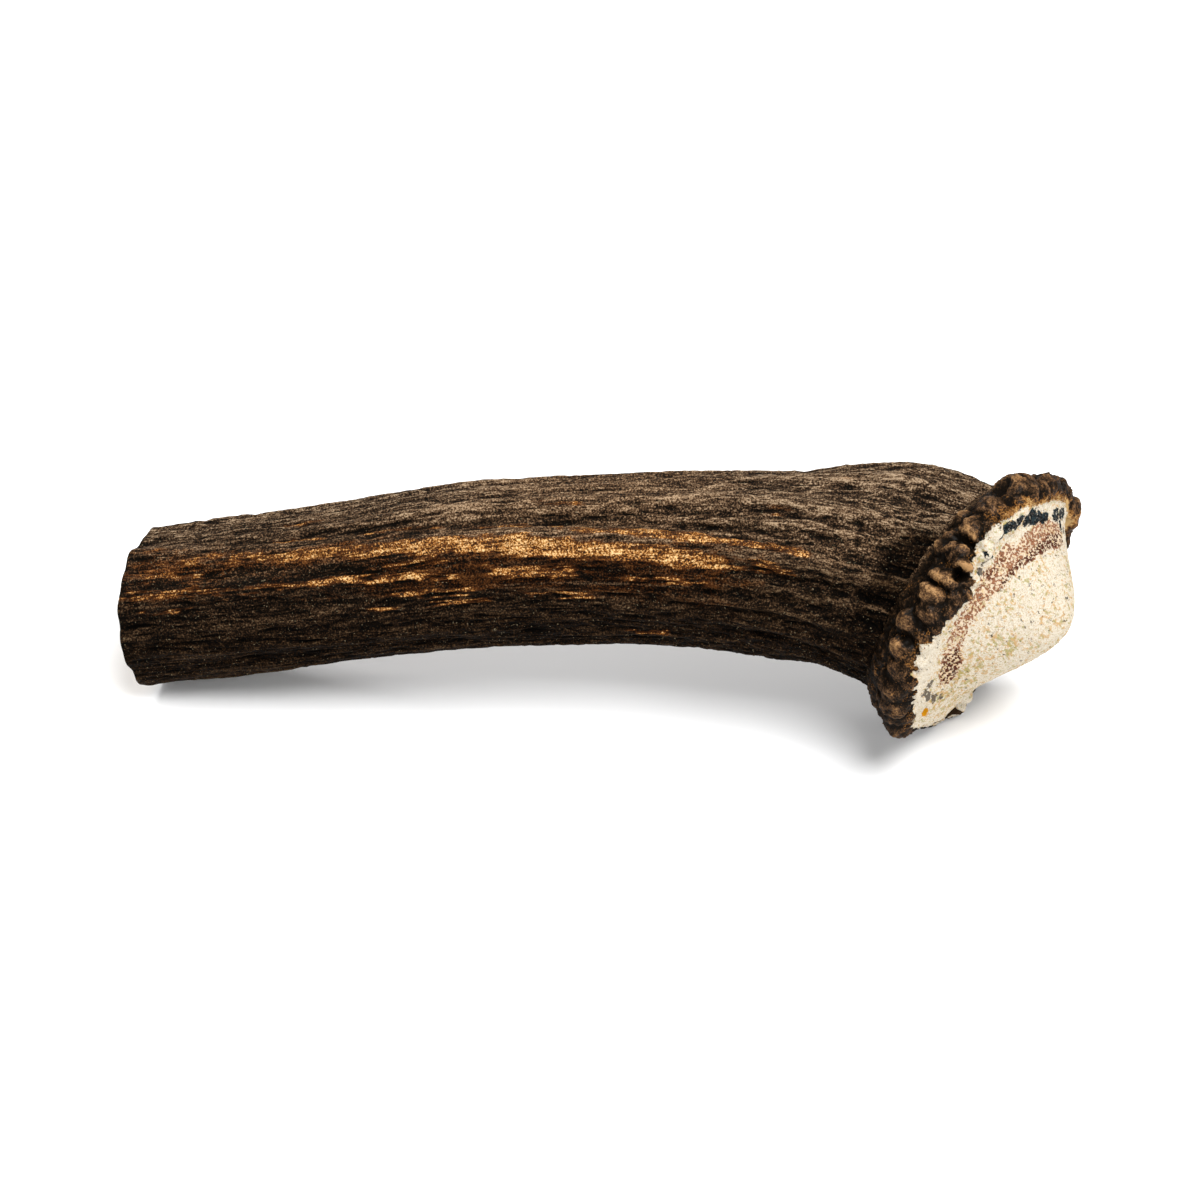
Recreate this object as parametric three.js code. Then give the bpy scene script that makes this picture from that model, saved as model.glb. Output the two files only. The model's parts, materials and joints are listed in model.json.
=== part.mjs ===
// The base of a shed deer antler: a ridged beam, sawn off at one end, that flares into the
// lumpy burr, with the domed, porous seal where it once grew from the skull.
// Millimetres, +Z up. It lies on a surface at z = 0 on the lower edge of the sawn end and on
// the underside of the burr. X runs from the sawn end to the burr.
//
// One closed skin follows the bone: rings round the beam, rings over the burr, and rings that
// shrink over the seal to its middle. Angles go round a ring from its highest point towards -Y.

import * as THREE from 'three';

const DEGREES = Math.PI / 180;

// Beam: centre x, y, z and radius, from the sawn end to where the burr starts.
const BEAM_STATIONS = [
  [-91.3, 8.4, 16.0, 15.7],
  [-60.5, 6.0, 22.7, 15.6],
  [-24.0, 4.0, 30.2, 16.4],
  [12.0, 1.0, 34.2, 17.0],
  [42.0, -2.4, 34.9, 19.2],
  [66.0, -5.0, 30.4, 22.6],
];
const SAW_AXIS = new THREE.Vector3(0.965, -0.25, 0.14).normalize();
const SAW_BLEND = 0.25; // share of the beam over which its rings turn from the saw cut
const BURR_BLEND = 0.4; // share of the beam over which its rings turn to the burr

// Burr and seal: the middle of the burr, its axis out of the seal, the direction in its plane
// in which the seal's hump lies, and the outline turned round the axis as radius and height.
const BURR_CENTRE = new THREE.Vector3(74.4, -9.1, 30.0);
const BURR_AXIS = new THREE.Vector3(0.781, -0.6, -0.171).normalize();
const HUMP_SIDE = new THREE.Vector3(0.55, 0.534, 0.636).normalize();
const BURR_OUTLINE = [
  [22.6, -9.0],
  [25.2, -6.8],
  [27.6, -4.8],
  [29.2, -2.6],
  [29.7, 0.0],
  [28.8, 1.8],
  [26.8, 2.8],
];
const SEAL_OUTLINE = [
  [26.8, 2.8],
  [24.0, 3.5],
  [20.0, 4.4],
  [14.0, 5.4],
  [7.0, 6.0],
  [0.0, 6.2],
];
const CENTRE_SLIDE = 9; // length over which the rings slide from the beam's middle to the burr's
const OUTWARD_TURN = 4; // length over which the relief turns from radial to square to the skin
const SEAL_HUMP = { offset: 6, low: 26, high: 20.6, across: 26, rise: 11, start: 12, blend: 6 };

// Fluting all round the beam: number of flutes, depth, and how far they wander along it.
const FLUTES = [
  { count: 9, depth: 0.3, phase: 0, sway: 0.8, wave: 38 },
  { count: 16, depth: 0.22, phase: -1.1, sway: 0.7, wave: 27 },
];

// Single ridges and grooves: distances from the saw cut, the angles there, half width, height.
const RIDGES = [
  [4, 46, -32, -28, 4.2, 0.2],
  [0, 60, -9, -3, 7.0, -0.9],
  [0, 40, 136, 138, 10.0, 0.6],
  [3, 150, 17, 54, 3.4, 0.9],
  [3, 150, 2, 38, 2.4, -0.8],
  [4, 110, 30, 62, 2.2, -0.7],
  [3, 50, 44, 52, 2.6, 0.7],
  [3, 80, 92, 104, 4.0, 0.7],
  [40, 160, 62, 82, 1.6, 0.7],
  [60, 168, 108, 118, 3.0, 0.7],
  [70, 168, 30, 46, 2.4, 0.7],
  [90, 168, 84, 96, 3.0, 0.8],
  [95, 168, 6, 20, 2.6, 1.1],
  [95, 168, 64, 68, 2.4, 1.2],
  [100, 168, -16, -12, 3.0, 0.8],
  [108, 170, 24, 30, 2.0, 1.0],
  [112, 170, 47, 52, 2.1, 1.1],
  [104, 170, 74, 80, 2.1, 1.0],
  [118, 170, 38, 44, 2.2, -1.0],
  [116, 170, 57, 61, 2.0, -1.1],
  [110, 170, 96, 104, 2.4, -0.8],
  [134, 168, 134, 138, 14.0, -1.2],
  [20, 150, 150, 170, 4.0, 0.8],
  [3, 120, 205, 190, 4.4, 0.9],
  [40, 168, 236, 228, 3.6, 0.9],
  [3, 140, 262, 275, 4.6, 0.8],
  [60, 168, 296, 288, 3.6, 0.9],
];
const RIDGE_FADE = 15; // length over which a ridge rises out of the beam and sinks again
const SAW_EDGE = 2; // a ridge that starts nearer the saw cut than this is cut off by it

// The shoulder above the burr: its distance from the saw cut, its angle, how far it runs out
// before and after its top, its half width and its height.
const SHOULDER = { at: 147.5, angle: -44, before: 21, after: 22, half: 26, rise: 4.7 };

// Burr lumps: angle, distance up the burr, half widths round it and up it, height.
const LUMPS = [
  [-70, 15.0, 5.2, 4.8, 2.3],
  [-52, 15.0, 4.6, 4.0, 0.9],
  [-40, 14.4, 4.4, 4.0, 0.8],
  [-27, 12.9, 4.2, 3.8, 1.2],
  [-17, 13.4, 2.6, 2.8, 1.1],
  [-8.5, 10.0, 4.8, 4.8, 2.5],
  [-1.5, 13.6, 2.4, 2.6, 1.3],
  [4, 14.6, 3.0, 2.4, 1.0],
  [9.6, 9.6, 3.4, 3.6, 2.3],
  [12.6, 4.6, 1.9, 1.9, 1.6],
  [9, 14.2, 3.0, 2.6, 1.4],
  [17, 12.6, 2.6, 2.6, 2.0],
  [20.8, 9.2, 3.6, 2.8, 2.3],
  [25.4, 6.2, 2.1, 2.0, 1.8],
  [30.2, 5.8, 1.8, 1.8, 1.8],
  [25, 13.9, 2.6, 2.4, 1.5],
  [31.2, 9.6, 2.2, 3.2, 1.7],
  [34.2, 12.6, 1.8, 2.6, 2.0],
  [36.6, 15.6, 2.2, 1.9, 1.9],
  [41.6, 16.6, 2.4, 1.8, 1.7],
  [42.2, 10.2, 1.7, 3.4, 2.3],
  [46.6, 15.2, 2.3, 2.4, 1.9],
  [49.4, 10.2, 2.9, 2.9, 2.7],
  [51.4, 15.0, 2.4, 2.2, 1.6],
  [55.6, 11.4, 3.0, 3.2, 2.0],
  [59, 14.6, 2.8, 2.4, 1.4],
  [63.4, 8.8, 3.0, 3.4, 2.1],
  [66.5, 13.4, 3.0, 2.6, 1.6],
  [72.4, 10.4, 3.4, 3.4, 2.2],
  [75, 14.4, 3.0, 2.4, 1.3],
  [80.5, 11.2, 3.4, 3.2, 2.1],
  [84.6, 14.2, 3.2, 2.6, 1.5],
  [90.5, 10.9, 4.0, 4.0, 2.1],
  [92, 15.6, 3.2, 2.4, 1.0],
  [99.5, 12.0, 3.6, 4.2, 2.0],
  [107, 11.2, 3.8, 3.6, 1.3],
  [109, 15.0, 3.4, 2.8, 1.2],
  [118, 13.0, 4.2, 4.2, 1.7],
  [128, 14.0, 3.8, 3.8, 0.6],
  [181, 14.8, 3.0, 3.2, 1.3],
  [274, 16.4, 4.6, 3.6, 1.6],
  [200, 8.5, 6.0, 4.8, 3.9],
  [171, 23.0, 2.2, 1.6, 1.5],
  [177, 17.4, 2.2, 1.9, 1.5],
];
// The far side carries a double row of like lumps, whose size swings from one to the next.
const FAR_LUMPS = { count: 8, from: 217, step: 11, low: 9.2, high: 13.2, width: 5.2, rise: 2.0 };
const FAR_SWING = { width: 0.7, rise: 0.5, turn: 120 };
const LUMP_MERGE = 6; // higher keeps a sharper crease between neighbouring lumps

// Holes and bites: angle, distance up the burr, half widths round it and up it, depth.
const PITS = [
  [-30, 9.2, 4.4, 3.4, 2.1],
  [-2.5, 8.2, 2.2, 2.0, 1.4],
  [38, 12.8, 1.5, 1.7, 2.4],
  [26, 10.6, 1.1, 3.6, 1.7],
  [45.8, 10.4, 0.8, 3.2, 1.2],
  [67.6, 10.2, 1.4, 3.0, 1.4],
  [124, 8.4, 8.0, 4.6, 1.3],
  [147, 13.4, 10.0, 5.4, 1.6],
  [168, 18.6, 2.2, 3.2, 3.4],
  [168, 15.4, 1.5, 1.7, 1.5],
  [120, 19.8, 2.2, 0.9, 0.8],
  [-73, 18.4, 6.0, 1.8, 1.6],
];

// How finely each stretch is faceted: rings along it and points round each ring.
const BEAM_RINGS = 20;
const BEAM_POINTS = 80;
const BURR_RINGS = 19;
const BURR_POINTS = 132;
const SEAL_RINGS = 9;
const SEAL_POINTS = 66;

// 0 below 0, 1 above 1, an S-shaped step between.
function smooth(value) {
  return THREE.MathUtils.smoothstep(value, 0, 1);
}

// Shortest way round from one angle to another, in degrees.
function angleBetween(angle, other) {
  return THREE.MathUtils.euclideanModulo(angle - other + 180, 360) - 180;
}

function curveThrough(points) {
  const vectors = points.map(([x, y, z = 0]) => new THREE.Vector3(x, y, z));
  return new THREE.CatmullRomCurve3(vectors, false, 'catmullrom', 0.5);
}

// Rings of the beam. Each leans from the saw cut's plane, through square to the beam, to the
// burr's plane.
function beamRings() {
  const middle = curveThrough(BEAM_STATIONS);
  const radii = curveThrough(BEAM_STATIONS.map((station) => [station[3], 0]));
  const rings = [];
  let along = 0;
  for (let i = 0; i < BEAM_RINGS; i += 1) {
    const share = i / (BEAM_RINGS - 1);
    const centre = middle.getPoint(share);
    if (i > 0) along += centre.distanceTo(rings[i - 1].centre);
    const toSaw = smooth(1 - share / SAW_BLEND);
    const toBurr = smooth((share - 1 + BURR_BLEND) / BURR_BLEND);
    const axis = middle.getTangent(share).multiplyScalar(1 - toSaw - toBurr);
    axis.addScaledVector(SAW_AXIS, toSaw).addScaledVector(BURR_AXIS, toBurr).normalize();
    const radius = radii.getPoint(share).x;
    rings.push({ centre, axis, radius, along, up: 0, out: 1, lift: 0 });
  }
  return rings;
}

// Rings of one outline turned round the burr's axis. up is the distance from the beam; out and
// lift are the shares of the relief that go away from the axis and along it.
function turnedRings(outline, ringCount, startUp, beamEnd) {
  const curve = curveThrough(outline);
  const slide = beamEnd.centre.clone().sub(BURR_CENTRE);
  slide.addScaledVector(BURR_AXIS, -BURR_OUTLINE[0][1]);
  const rings = [];
  let up = startUp;
  let before = curve.getPoint(0);
  for (let i = 1; i <= ringCount; i += 1) {
    const point = curve.getPoint(i / ringCount);
    up += point.distanceTo(before);
    before = point;
    const tangent = curve.getTangent(i / ringCount);
    const turned = smooth(up / OUTWARD_TURN);
    const out = 1 - turned + tangent.y * turned;
    const lift = -tangent.x * turned;
    const size = Math.hypot(out, lift);
    const centre = BURR_CENTRE.clone().addScaledVector(BURR_AXIS, point.y);
    centre.addScaledVector(slide, smooth(1 - up / CENTRE_SLIDE));
    rings.push({
      centre,
      axis: BURR_AXIS,
      radius: point.x,
      along: beamEnd.along + up,
      up,
      out: out / size,
      lift: lift / size,
    });
  }
  return rings;
}

function flutes(ring, angle) {
  let rise = 0;
  for (const { count, depth, phase, sway, wave } of FLUTES) {
    rise += depth * Math.sin(count * angle * DEGREES + phase + sway * Math.sin(ring.along / wave));
  }
  return rise;
}

function ridges(ring, angle) {
  let rise = 0;
  for (const [start, end, startAngle, endAngle, halfWidth, height] of RIDGES) {
    if (ring.along < start || ring.along > end) continue;
    const share = (ring.along - start) / (end - start);
    const crest = THREE.MathUtils.lerp(startAngle, endAngle, share);
    const away = Math.abs(angleBetween(angle, crest)) * DEGREES * ring.radius;
    const rising = start < SAW_EDGE ? 1 : smooth((ring.along - start) / RIDGE_FADE);
    const sinking = smooth((end - ring.along) / RIDGE_FADE);
    rise += height * rising * sinking * smooth(1 - away / halfWidth);
  }
  return rise;
}

function shoulder(ring, angle) {
  const fromTop = ring.along - SHOULDER.at;
  const lengthwise = fromTop / (fromTop < 0 ? SHOULDER.before : SHOULDER.after);
  const around = angleBetween(angle, SHOULDER.angle) * DEGREES * ring.radius;
  const away = Math.hypot(lengthwise, around / SHOULDER.half);
  return SHOULDER.rise * smooth(1 - away) * smooth(1 - ring.up / CENTRE_SLIDE);
}

// Square of the distance from a spot's middle, 1 at its edge.
function spotDistance(ring, angle, [spotAngle, spotUp, halfAround, halfUp]) {
  const around = angleBetween(angle, spotAngle) * DEGREES * ring.radius;
  return (around / halfAround) ** 2 + ((ring.up - spotUp) / halfUp) ** 2;
}

function farLumps() {
  const lumps = [];
  for (let i = 0; i < FAR_LUMPS.count; i += 1) {
    const up = i % 2 ? FAR_LUMPS.low : FAR_LUMPS.high;
    const swing = Math.sin(i * FAR_SWING.turn * DEGREES);
    const width = FAR_LUMPS.width + FAR_SWING.width * swing;
    const rise = FAR_LUMPS.rise - FAR_SWING.rise * swing;
    lumps.push([FAR_LUMPS.from + i * FAR_LUMPS.step, up, width, width, rise]);
  }
  return lumps;
}

const ALL_LUMPS = [...LUMPS, ...farLumps()];

function lumps(ring, angle) {
  let sum = 0;
  for (const lump of ALL_LUMPS) {
    const inside = Math.max(0, 1 - spotDistance(ring, angle, lump));
    sum += (lump[4] * inside) ** LUMP_MERGE;
  }
  return sum ** (1 / LUMP_MERGE);
}

function pits(ring, angle) {
  let depth = 0;
  for (const pit of PITS) {
    depth += pit[4] * Math.max(0, 1 - spotDistance(ring, angle, pit));
  }
  return -depth;
}

function relief(ring, angle) {
  if (ring.up === 0) {
    return flutes(ring, angle) + ridges(ring, angle) + shoulder(ring, angle);
  }
  return shoulder(ring, angle) + lumps(ring, angle) + pits(ring, angle);
}

// How far the seal's lopsided hump lifts a point along the burr's axis.
function humpLift(point, up) {
  const fromMiddle = point.clone().sub(BURR_CENTRE);
  const onSide = fromMiddle.dot(HUMP_SIDE) - SEAL_HUMP.offset;
  const across = fromMiddle.dot(new THREE.Vector3().crossVectors(BURR_AXIS, HUMP_SIDE));
  const reach = onSide < 0 ? SEAL_HUMP.low : SEAL_HUMP.high;
  const away = Math.hypot(onSide / reach, across / SEAL_HUMP.across);
  return SEAL_HUMP.rise * smooth(1 - away) * smooth((up - SEAL_HUMP.start) / SEAL_HUMP.blend);
}

function ringPoints(ring, count) {
  const upright = new THREE.Vector3(0, 0, 1).addScaledVector(ring.axis, -ring.axis.z).normalize();
  const sideways = new THREE.Vector3().crossVectors(ring.axis, upright);
  const points = [];
  for (let i = 0; i < count; i += 1) {
    const angle = (i / count) * 360;
    const outward = upright.clone().multiplyScalar(Math.cos(angle * DEGREES));
    outward.addScaledVector(sideways, Math.sin(angle * DEGREES));
    const rise = relief(ring, angle);
    const point = ring.centre.clone().addScaledVector(outward, ring.radius + rise * ring.out);
    point.addScaledVector(ring.axis, rise * ring.lift);
    if (ring.up > 0) point.addScaledVector(BURR_AXIS, humpLift(point, ring.up));
    points.push(point);
  }
  return points;
}

// Triangles between two rings, which may have different numbers of points, or only one.
function bridge(triangles, first, second) {
  const firstEdges = first.count > 1 ? first.count : 0;
  const secondEdges = second.count > 1 ? second.count : 0;
  let i = 0;
  let j = 0;
  while (i < firstEdges || j < secondEdges) {
    const a = first.start + (i % first.count);
    const b = second.start + (j % second.count);
    const firstShare = (i + 1) / firstEdges;
    const secondShare = (j + 1) / secondEdges;
    if (firstShare <= secondShare) {
      i += 1;
      triangles.push(a, first.start + (i % first.count), b);
    } else {
      j += 1;
      triangles.push(a, second.start + (j % second.count), b);
    }
  }
}

function antlerGeometry() {
  const beam = beamRings();
  const beamEnd = beam[beam.length - 1];
  const burr = turnedRings(BURR_OUTLINE, BURR_RINGS, 0, beamEnd);
  const seal = turnedRings(SEAL_OUTLINE, SEAL_RINGS, burr[burr.length - 1].up, beamEnd);
  const sealMiddle = seal.pop();

  const positions = [];
  const triangles = [];
  let previous = { start: 0, count: 1 };
  positions.push(...beam[0].centre.toArray());
  const addRing = (points) => {
    const next = { start: positions.length / 3, count: points.length };
    for (const point of points) positions.push(...point.toArray());
    bridge(triangles, previous, next);
    previous = next;
  };
  for (const ring of beam) addRing(ringPoints(ring, BEAM_POINTS));
  for (const ring of burr) addRing(ringPoints(ring, BURR_POINTS));
  for (const ring of seal) addRing(ringPoints(ring, SEAL_POINTS));
  addRing(ringPoints(sealMiddle, 1));

  const geometry = new THREE.BufferGeometry();
  geometry.setAttribute('position', new THREE.Float32BufferAttribute(positions, 3));
  geometry.setIndex(triangles);
  geometry.computeBoundingBox();
  const { min, max } = geometry.boundingBox;
  geometry.translate(-(min.x + max.x) / 2, -(min.y + max.y) / 2, -min.z);
  return geometry;
}

const bone = new THREE.MeshStandardMaterial({ color: 0x4a3526, roughness: 0.7, metalness: 0 });
const antler = new THREE.Mesh(antlerGeometry(), bone);
antler.name = 'antler';

const part = new THREE.Group();
part.add(antler);

export default part;
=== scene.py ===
"""The base of a shed deer antler: ridged beam, lumpy burr and porous seal, on a pale floor.

The skin follows the same rings as the solid that it stands for, only far finer. Shape tables
are in millimetres and degrees; everything handed to Blender is in metres. Angles go round a
ring from its highest point towards -Y.
"""

import json
import math
from dataclasses import dataclass

import bpy
import numpy as np
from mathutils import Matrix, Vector


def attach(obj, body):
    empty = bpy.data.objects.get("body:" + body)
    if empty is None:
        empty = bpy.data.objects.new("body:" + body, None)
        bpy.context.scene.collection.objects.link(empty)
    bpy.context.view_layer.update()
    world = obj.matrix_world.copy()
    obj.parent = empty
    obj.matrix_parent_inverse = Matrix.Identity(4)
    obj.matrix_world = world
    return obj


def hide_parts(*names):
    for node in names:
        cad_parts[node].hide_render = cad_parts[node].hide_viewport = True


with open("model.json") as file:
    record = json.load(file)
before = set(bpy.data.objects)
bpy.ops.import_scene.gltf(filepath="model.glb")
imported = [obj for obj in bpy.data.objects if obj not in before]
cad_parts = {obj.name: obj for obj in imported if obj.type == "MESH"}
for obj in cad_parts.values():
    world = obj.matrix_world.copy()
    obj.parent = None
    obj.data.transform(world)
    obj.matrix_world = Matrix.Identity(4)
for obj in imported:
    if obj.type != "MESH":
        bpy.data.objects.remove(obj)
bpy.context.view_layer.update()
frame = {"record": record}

bl_info = {
    "name": "Deer antler base",
    "version": (1, 0, 0),
    "blender": (4, 5, 0),
    "location": "3D View > Sidebar > Antler",
    "description": "Builds a sawn, shed deer antler base with its burr and seal",
    "category": "Add Mesh",
}

MM = 0.001
NODE = "antler"

# --------------------------------------------------------------------------- shape tables

# Beam: centre x, y, z and radius, from the sawn end to where the burr starts. Its rings turn
# from the saw cut's plane to square, and then to the burr's, over these shares of its length.
BEAM_STATIONS = [
    (-91.3, 8.4, 16.0, 15.7),
    (-60.5, 6.0, 22.7, 15.6),
    (-24.0, 4.0, 30.2, 16.4),
    (12.0, 1.0, 34.2, 17.0),
    (42.0, -2.4, 34.9, 19.2),
    (66.0, -5.0, 30.4, 22.6),
]
SAW_AXIS = [0.965, -0.25, 0.14]
SAW_BLEND = 0.25
BURR_BLEND = 0.4

# Burr and seal: the middle of the burr, its axis, the way the seal's hump leans, and the
# outline turned round the axis as radius and height. Lengths up the burr follow: where its
# rings stop sliding off the beam's middle, and where relief has turned from radial to outward.
BURR_CENTRE = np.array([74.4, -9.1, 30.0])
BURR_AXIS = [0.781, -0.6, -0.171]
HUMP_SIDE = [0.55, 0.534, 0.636]
BURR_OUTLINE = [
    (22.6, -9.0), (25.2, -6.8), (27.6, -4.8), (29.2, -2.6), (29.7, 0.0), (28.8, 1.8), (26.8, 2.8),
]
SEAL_OUTLINE = [(26.8, 2.8), (24.0, 3.5), (20.0, 4.4), (14.0, 5.4), (7.0, 6.0), (0.0, 6.2)]
CENTRE_SLIDE = 9.0
OUTWARD_TURN = 4.0
# The seal's hump: how far its top is off the middle, its reach on the low side, on the high
# side and across, its height, and where up the burr it starts and over what length.
HUMP = {
    "offset": 6.0, "low": 26.0, "high": 20.6, "across": 26.0, "rise": 11.0, "start": 12.0,
    "blend": 6.0,
}

# Fluting all round the beam: flutes, depth, phase, sway and the length of one sway.
FLUTES = [(9, 0.30, 0.0, 0.8, 38.0), (16, 0.22, -1.1, 0.7, 27.0)]

# Ridges and grooves: from, to, first angle, last angle, half width, height.
RIDGES = [
    (4, 46, -32, -28, 4.2, 0.2),
    (0, 60, -9, -3, 7.0, -0.9),
    (0, 40, 136, 138, 10.0, 0.6),
    (3, 150, 17, 54, 3.4, 0.9),
    (3, 150, 2, 38, 2.4, -0.8),
    (4, 110, 30, 62, 2.2, -0.7),
    (3, 50, 44, 52, 2.6, 0.7),
    (3, 80, 92, 104, 4.0, 0.7),
    (40, 160, 62, 82, 1.6, 0.7),
    (60, 168, 108, 118, 3.0, 0.7),
    (70, 168, 30, 46, 2.4, 0.7),
    (90, 168, 84, 96, 3.0, 0.8),
    (95, 168, 6, 20, 2.6, 1.1),
    (95, 168, 64, 68, 2.4, 1.2),
    (100, 168, -16, -12, 3.0, 0.8),
    (108, 170, 24, 30, 2.0, 1.0),
    (112, 170, 47, 52, 2.1, 1.1),
    (104, 170, 74, 80, 2.1, 1.0),
    (118, 170, 38, 44, 2.2, -1.0),
    (116, 170, 57, 61, 2.0, -1.1),
    (110, 170, 96, 104, 2.4, -0.8),
    (134, 168, 134, 138, 14.0, -1.2),
    (20, 150, 150, 170, 4.0, 0.8),
    (3, 120, 205, 190, 4.4, 0.9),
    (40, 168, 236, 228, 3.6, 0.9),
    (3, 140, 262, 275, 4.6, 0.8),
    (60, 168, 296, 288, 3.6, 0.9),
]
RIDGE_FADE = 15.0
SAW_EDGE = 2.0  # a ridge that starts nearer the saw cut than this is cut off by it

# Shoulder above the burr: its distance from the saw cut, its angle, how far it runs out before
# and after its top, its half width and its height.
SHOULDER = {"at": 147.5, "angle": -44.0, "before": 21.0, "after": 22.0, "half": 26.0, "rise": 4.7}

# Burr lumps: angle, distance up the burr, half widths round it and up it, height.
LUMPS = [
    (-70, 15.0, 5.2, 4.8, 2.3),
    (-52, 15.0, 4.6, 4.0, 0.9),
    (-40, 14.4, 4.4, 4.0, 0.8),
    (-27, 12.9, 4.2, 3.8, 1.2),
    (-17, 13.4, 2.6, 2.8, 1.1),
    (-8.5, 10.0, 4.8, 4.8, 2.5),
    (-1.5, 13.6, 2.4, 2.6, 1.3),
    (4, 14.6, 3.0, 2.4, 1.0),
    (9.6, 9.6, 3.4, 3.6, 2.3),
    (12.6, 4.6, 1.9, 1.9, 1.6),
    (9, 14.2, 3.0, 2.6, 1.4),
    (17, 12.6, 2.6, 2.6, 2.0),
    (20.8, 9.2, 3.6, 2.8, 2.3),
    (25.4, 6.2, 2.1, 2.0, 1.8),
    (30.2, 5.8, 1.8, 1.8, 1.8),
    (25, 13.9, 2.6, 2.4, 1.5),
    (31.2, 9.6, 2.2, 3.2, 1.7),
    (34.2, 12.6, 1.8, 2.6, 2.0),
    (36.6, 15.6, 2.2, 1.9, 1.9),
    (41.6, 16.6, 2.4, 1.8, 1.7),
    (42.2, 10.2, 1.7, 3.4, 2.3),
    (46.6, 15.2, 2.3, 2.4, 1.9),
    (49.4, 10.2, 2.9, 2.9, 2.7),
    (51.4, 15.0, 2.4, 2.2, 1.6),
    (55.6, 11.4, 3.0, 3.2, 2.0),
    (59, 14.6, 2.8, 2.4, 1.4),
    (63.4, 8.8, 3.0, 3.4, 2.1),
    (66.5, 13.4, 3.0, 2.6, 1.6),
    (72.4, 10.4, 3.4, 3.4, 2.2),
    (75, 14.4, 3.0, 2.4, 1.3),
    (80.5, 11.2, 3.4, 3.2, 2.1),
    (84.6, 14.2, 3.2, 2.6, 1.5),
    (90.5, 10.9, 4.0, 4.0, 2.1),
    (92, 15.6, 3.2, 2.4, 1.0),
    (99.5, 12.0, 3.6, 4.2, 2.0),
    (107, 11.2, 3.8, 3.6, 1.3),
    (109, 15.0, 3.4, 2.8, 1.2),
    (118, 13.0, 4.2, 4.2, 1.7),
    (128, 14.0, 3.8, 3.8, 0.6),
    (181, 14.8, 3.0, 3.2, 1.3),
    (274, 16.4, 4.6, 3.6, 1.6),
    (200, 8.5, 6.0, 4.8, 3.9),
    (171, 23.0, 2.2, 1.6, 1.5),
    (177, 17.4, 2.2, 1.9, 1.5),
]
# Lumps of the far side: two rows by turns, with a width and height that swing.
FAR_LUMPS = {
    "count": 8, "from": 217, "step": 11, "low": 9.2, "high": 13.2, "width": 5.2, "rise": 2.0,
}
FAR_SWING = {"width": 0.7, "rise": 0.5, "turn": 120}
LUMP_MERGE = 6  # higher keeps a sharper crease between neighbouring lumps

# Holes and bites: angle, distance up the burr, half widths round it and up it, depth.
PITS = [
    (-30, 9.2, 4.4, 3.4, 2.1),
    (-2.5, 8.2, 2.2, 2.0, 1.4),
    (38, 12.8, 1.5, 1.7, 2.4),
    (26, 10.6, 1.1, 3.6, 1.7),
    (45.8, 10.4, 0.8, 3.2, 1.2),
    (67.6, 10.2, 1.4, 3.0, 1.4),
    (124, 8.4, 8.0, 4.6, 1.3),
    (147, 13.4, 10.0, 5.4, 1.6),
    (168, 18.6, 2.2, 3.2, 3.4),
    (168, 15.4, 1.5, 1.7, 1.5),
    (120, 19.8, 2.2, 0.9, 0.8),
    (-73, 18.4, 6.0, 1.8, 1.6),
]

# ---------------------------------------------------------------------- where colours lie

# Distance up the burr at which the seal starts, by angle.
SEAL_EDGE = [
    (-180, 18.0), (-120, 17.6), (-90, 18.2), (-76, 18.6), (-62, 18.2), (-50, 17.4), (-37, 16.7),
    (-26, 16.6), (-14, 16.1), (0, 13.9), (8, 13.3), (13, 12.8), (20, 12.2), (25, 12.2),
    (29, 12.9), (34, 13.6), (38, 15.2), (44, 17.2), (50, 17.8), (52, 16.0), (55, 14.6),
    (60, 14.8), (64, 14.3), (67, 13.6), (72, 13.9), (79, 14.6), (90, 16.1), (98, 16.8),
    (104, 17.3), (116, 16.9), (128, 17.0), (140, 16.2), (150, 15.2), (163, 14.4), (180, 14.0),
]
SCALLOPS = {"from": 64.0, "to": 126.0, "pitch": 6.4, "depth": 1.0}

# Golden wear: from, to, first angle, last angle, half width, strength.
GOLD = [
    (-4, 34, 19, 27, 1.3, 0.3),
    (8, 62, 21.5, 34, 1.4, 0.46),
    (44, 92, 31, 42, 2.0, 0.92),
    (68, 128, 37, 55, 2.1, 1.0),
    (112, 138, 52, 55, 1.5, 0.5),
    (44, 72, 14, 21, 0.8, 0.5),
    (64, 92, 20, 26, 0.9, 0.5),
    (82, 108, 28, 34, 1.0, 0.66),
    (98, 121, 32, 38, 1.4, 0.76),
    (110, 140, 37, 42, 1.3, 0.66),
    (80, 94, 7, 11, 0.7, 0.62),
    (124, 134, 17, 20, 1.0, 0.5),
    (-5, 20, 28, 36, 0.9, 0.46),
    (-6, 34, 43, 50, 1.4, 0.44),
    (24, 56, 48, 51, 1.1, 0.52),
    (50, 76, 43, 50, 0.8, 0.5),
    (46, 70, 53, 57, 1.3, 0.56),
    (70, 98, 56, 60, 1.6, 0.62),
    (96, 122, 62, 68, 1.4, 0.46),
    (52, 76, 66, 71, 1.2, 0.5),
    (58, 76, 75, 76, 1.0, 0.5),
    (78, 96, 73, 77, 1.2, 0.44),
    (98, 110, 107, 108, 0.8, 0.46),
    (2, 18, 59, 62, 0.9, 0.44),
    (44, 58, 73, 76, 0.9, 0.44),
    (30, 42, -9, -8, 0.7, 0.5),
    (24, 46, 10, 14, 0.7, 0.44),
    (20, 70, 200, 196, 3.0, 0.6),
    (60, 130, 268, 274, 3.0, 0.8),
    (10, 90, 232, 240, 2.4, 0.6),
]
# Reddish brown ground round the golden wear, given in the same way.
WARM = [
    (-30, 76, 26, 48, 7.8, 0.62),
    (30, 140, 44, 66, 6.5, 0.9),
    (40, 120, 240, 262, 12.0, 0.7),
]
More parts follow.
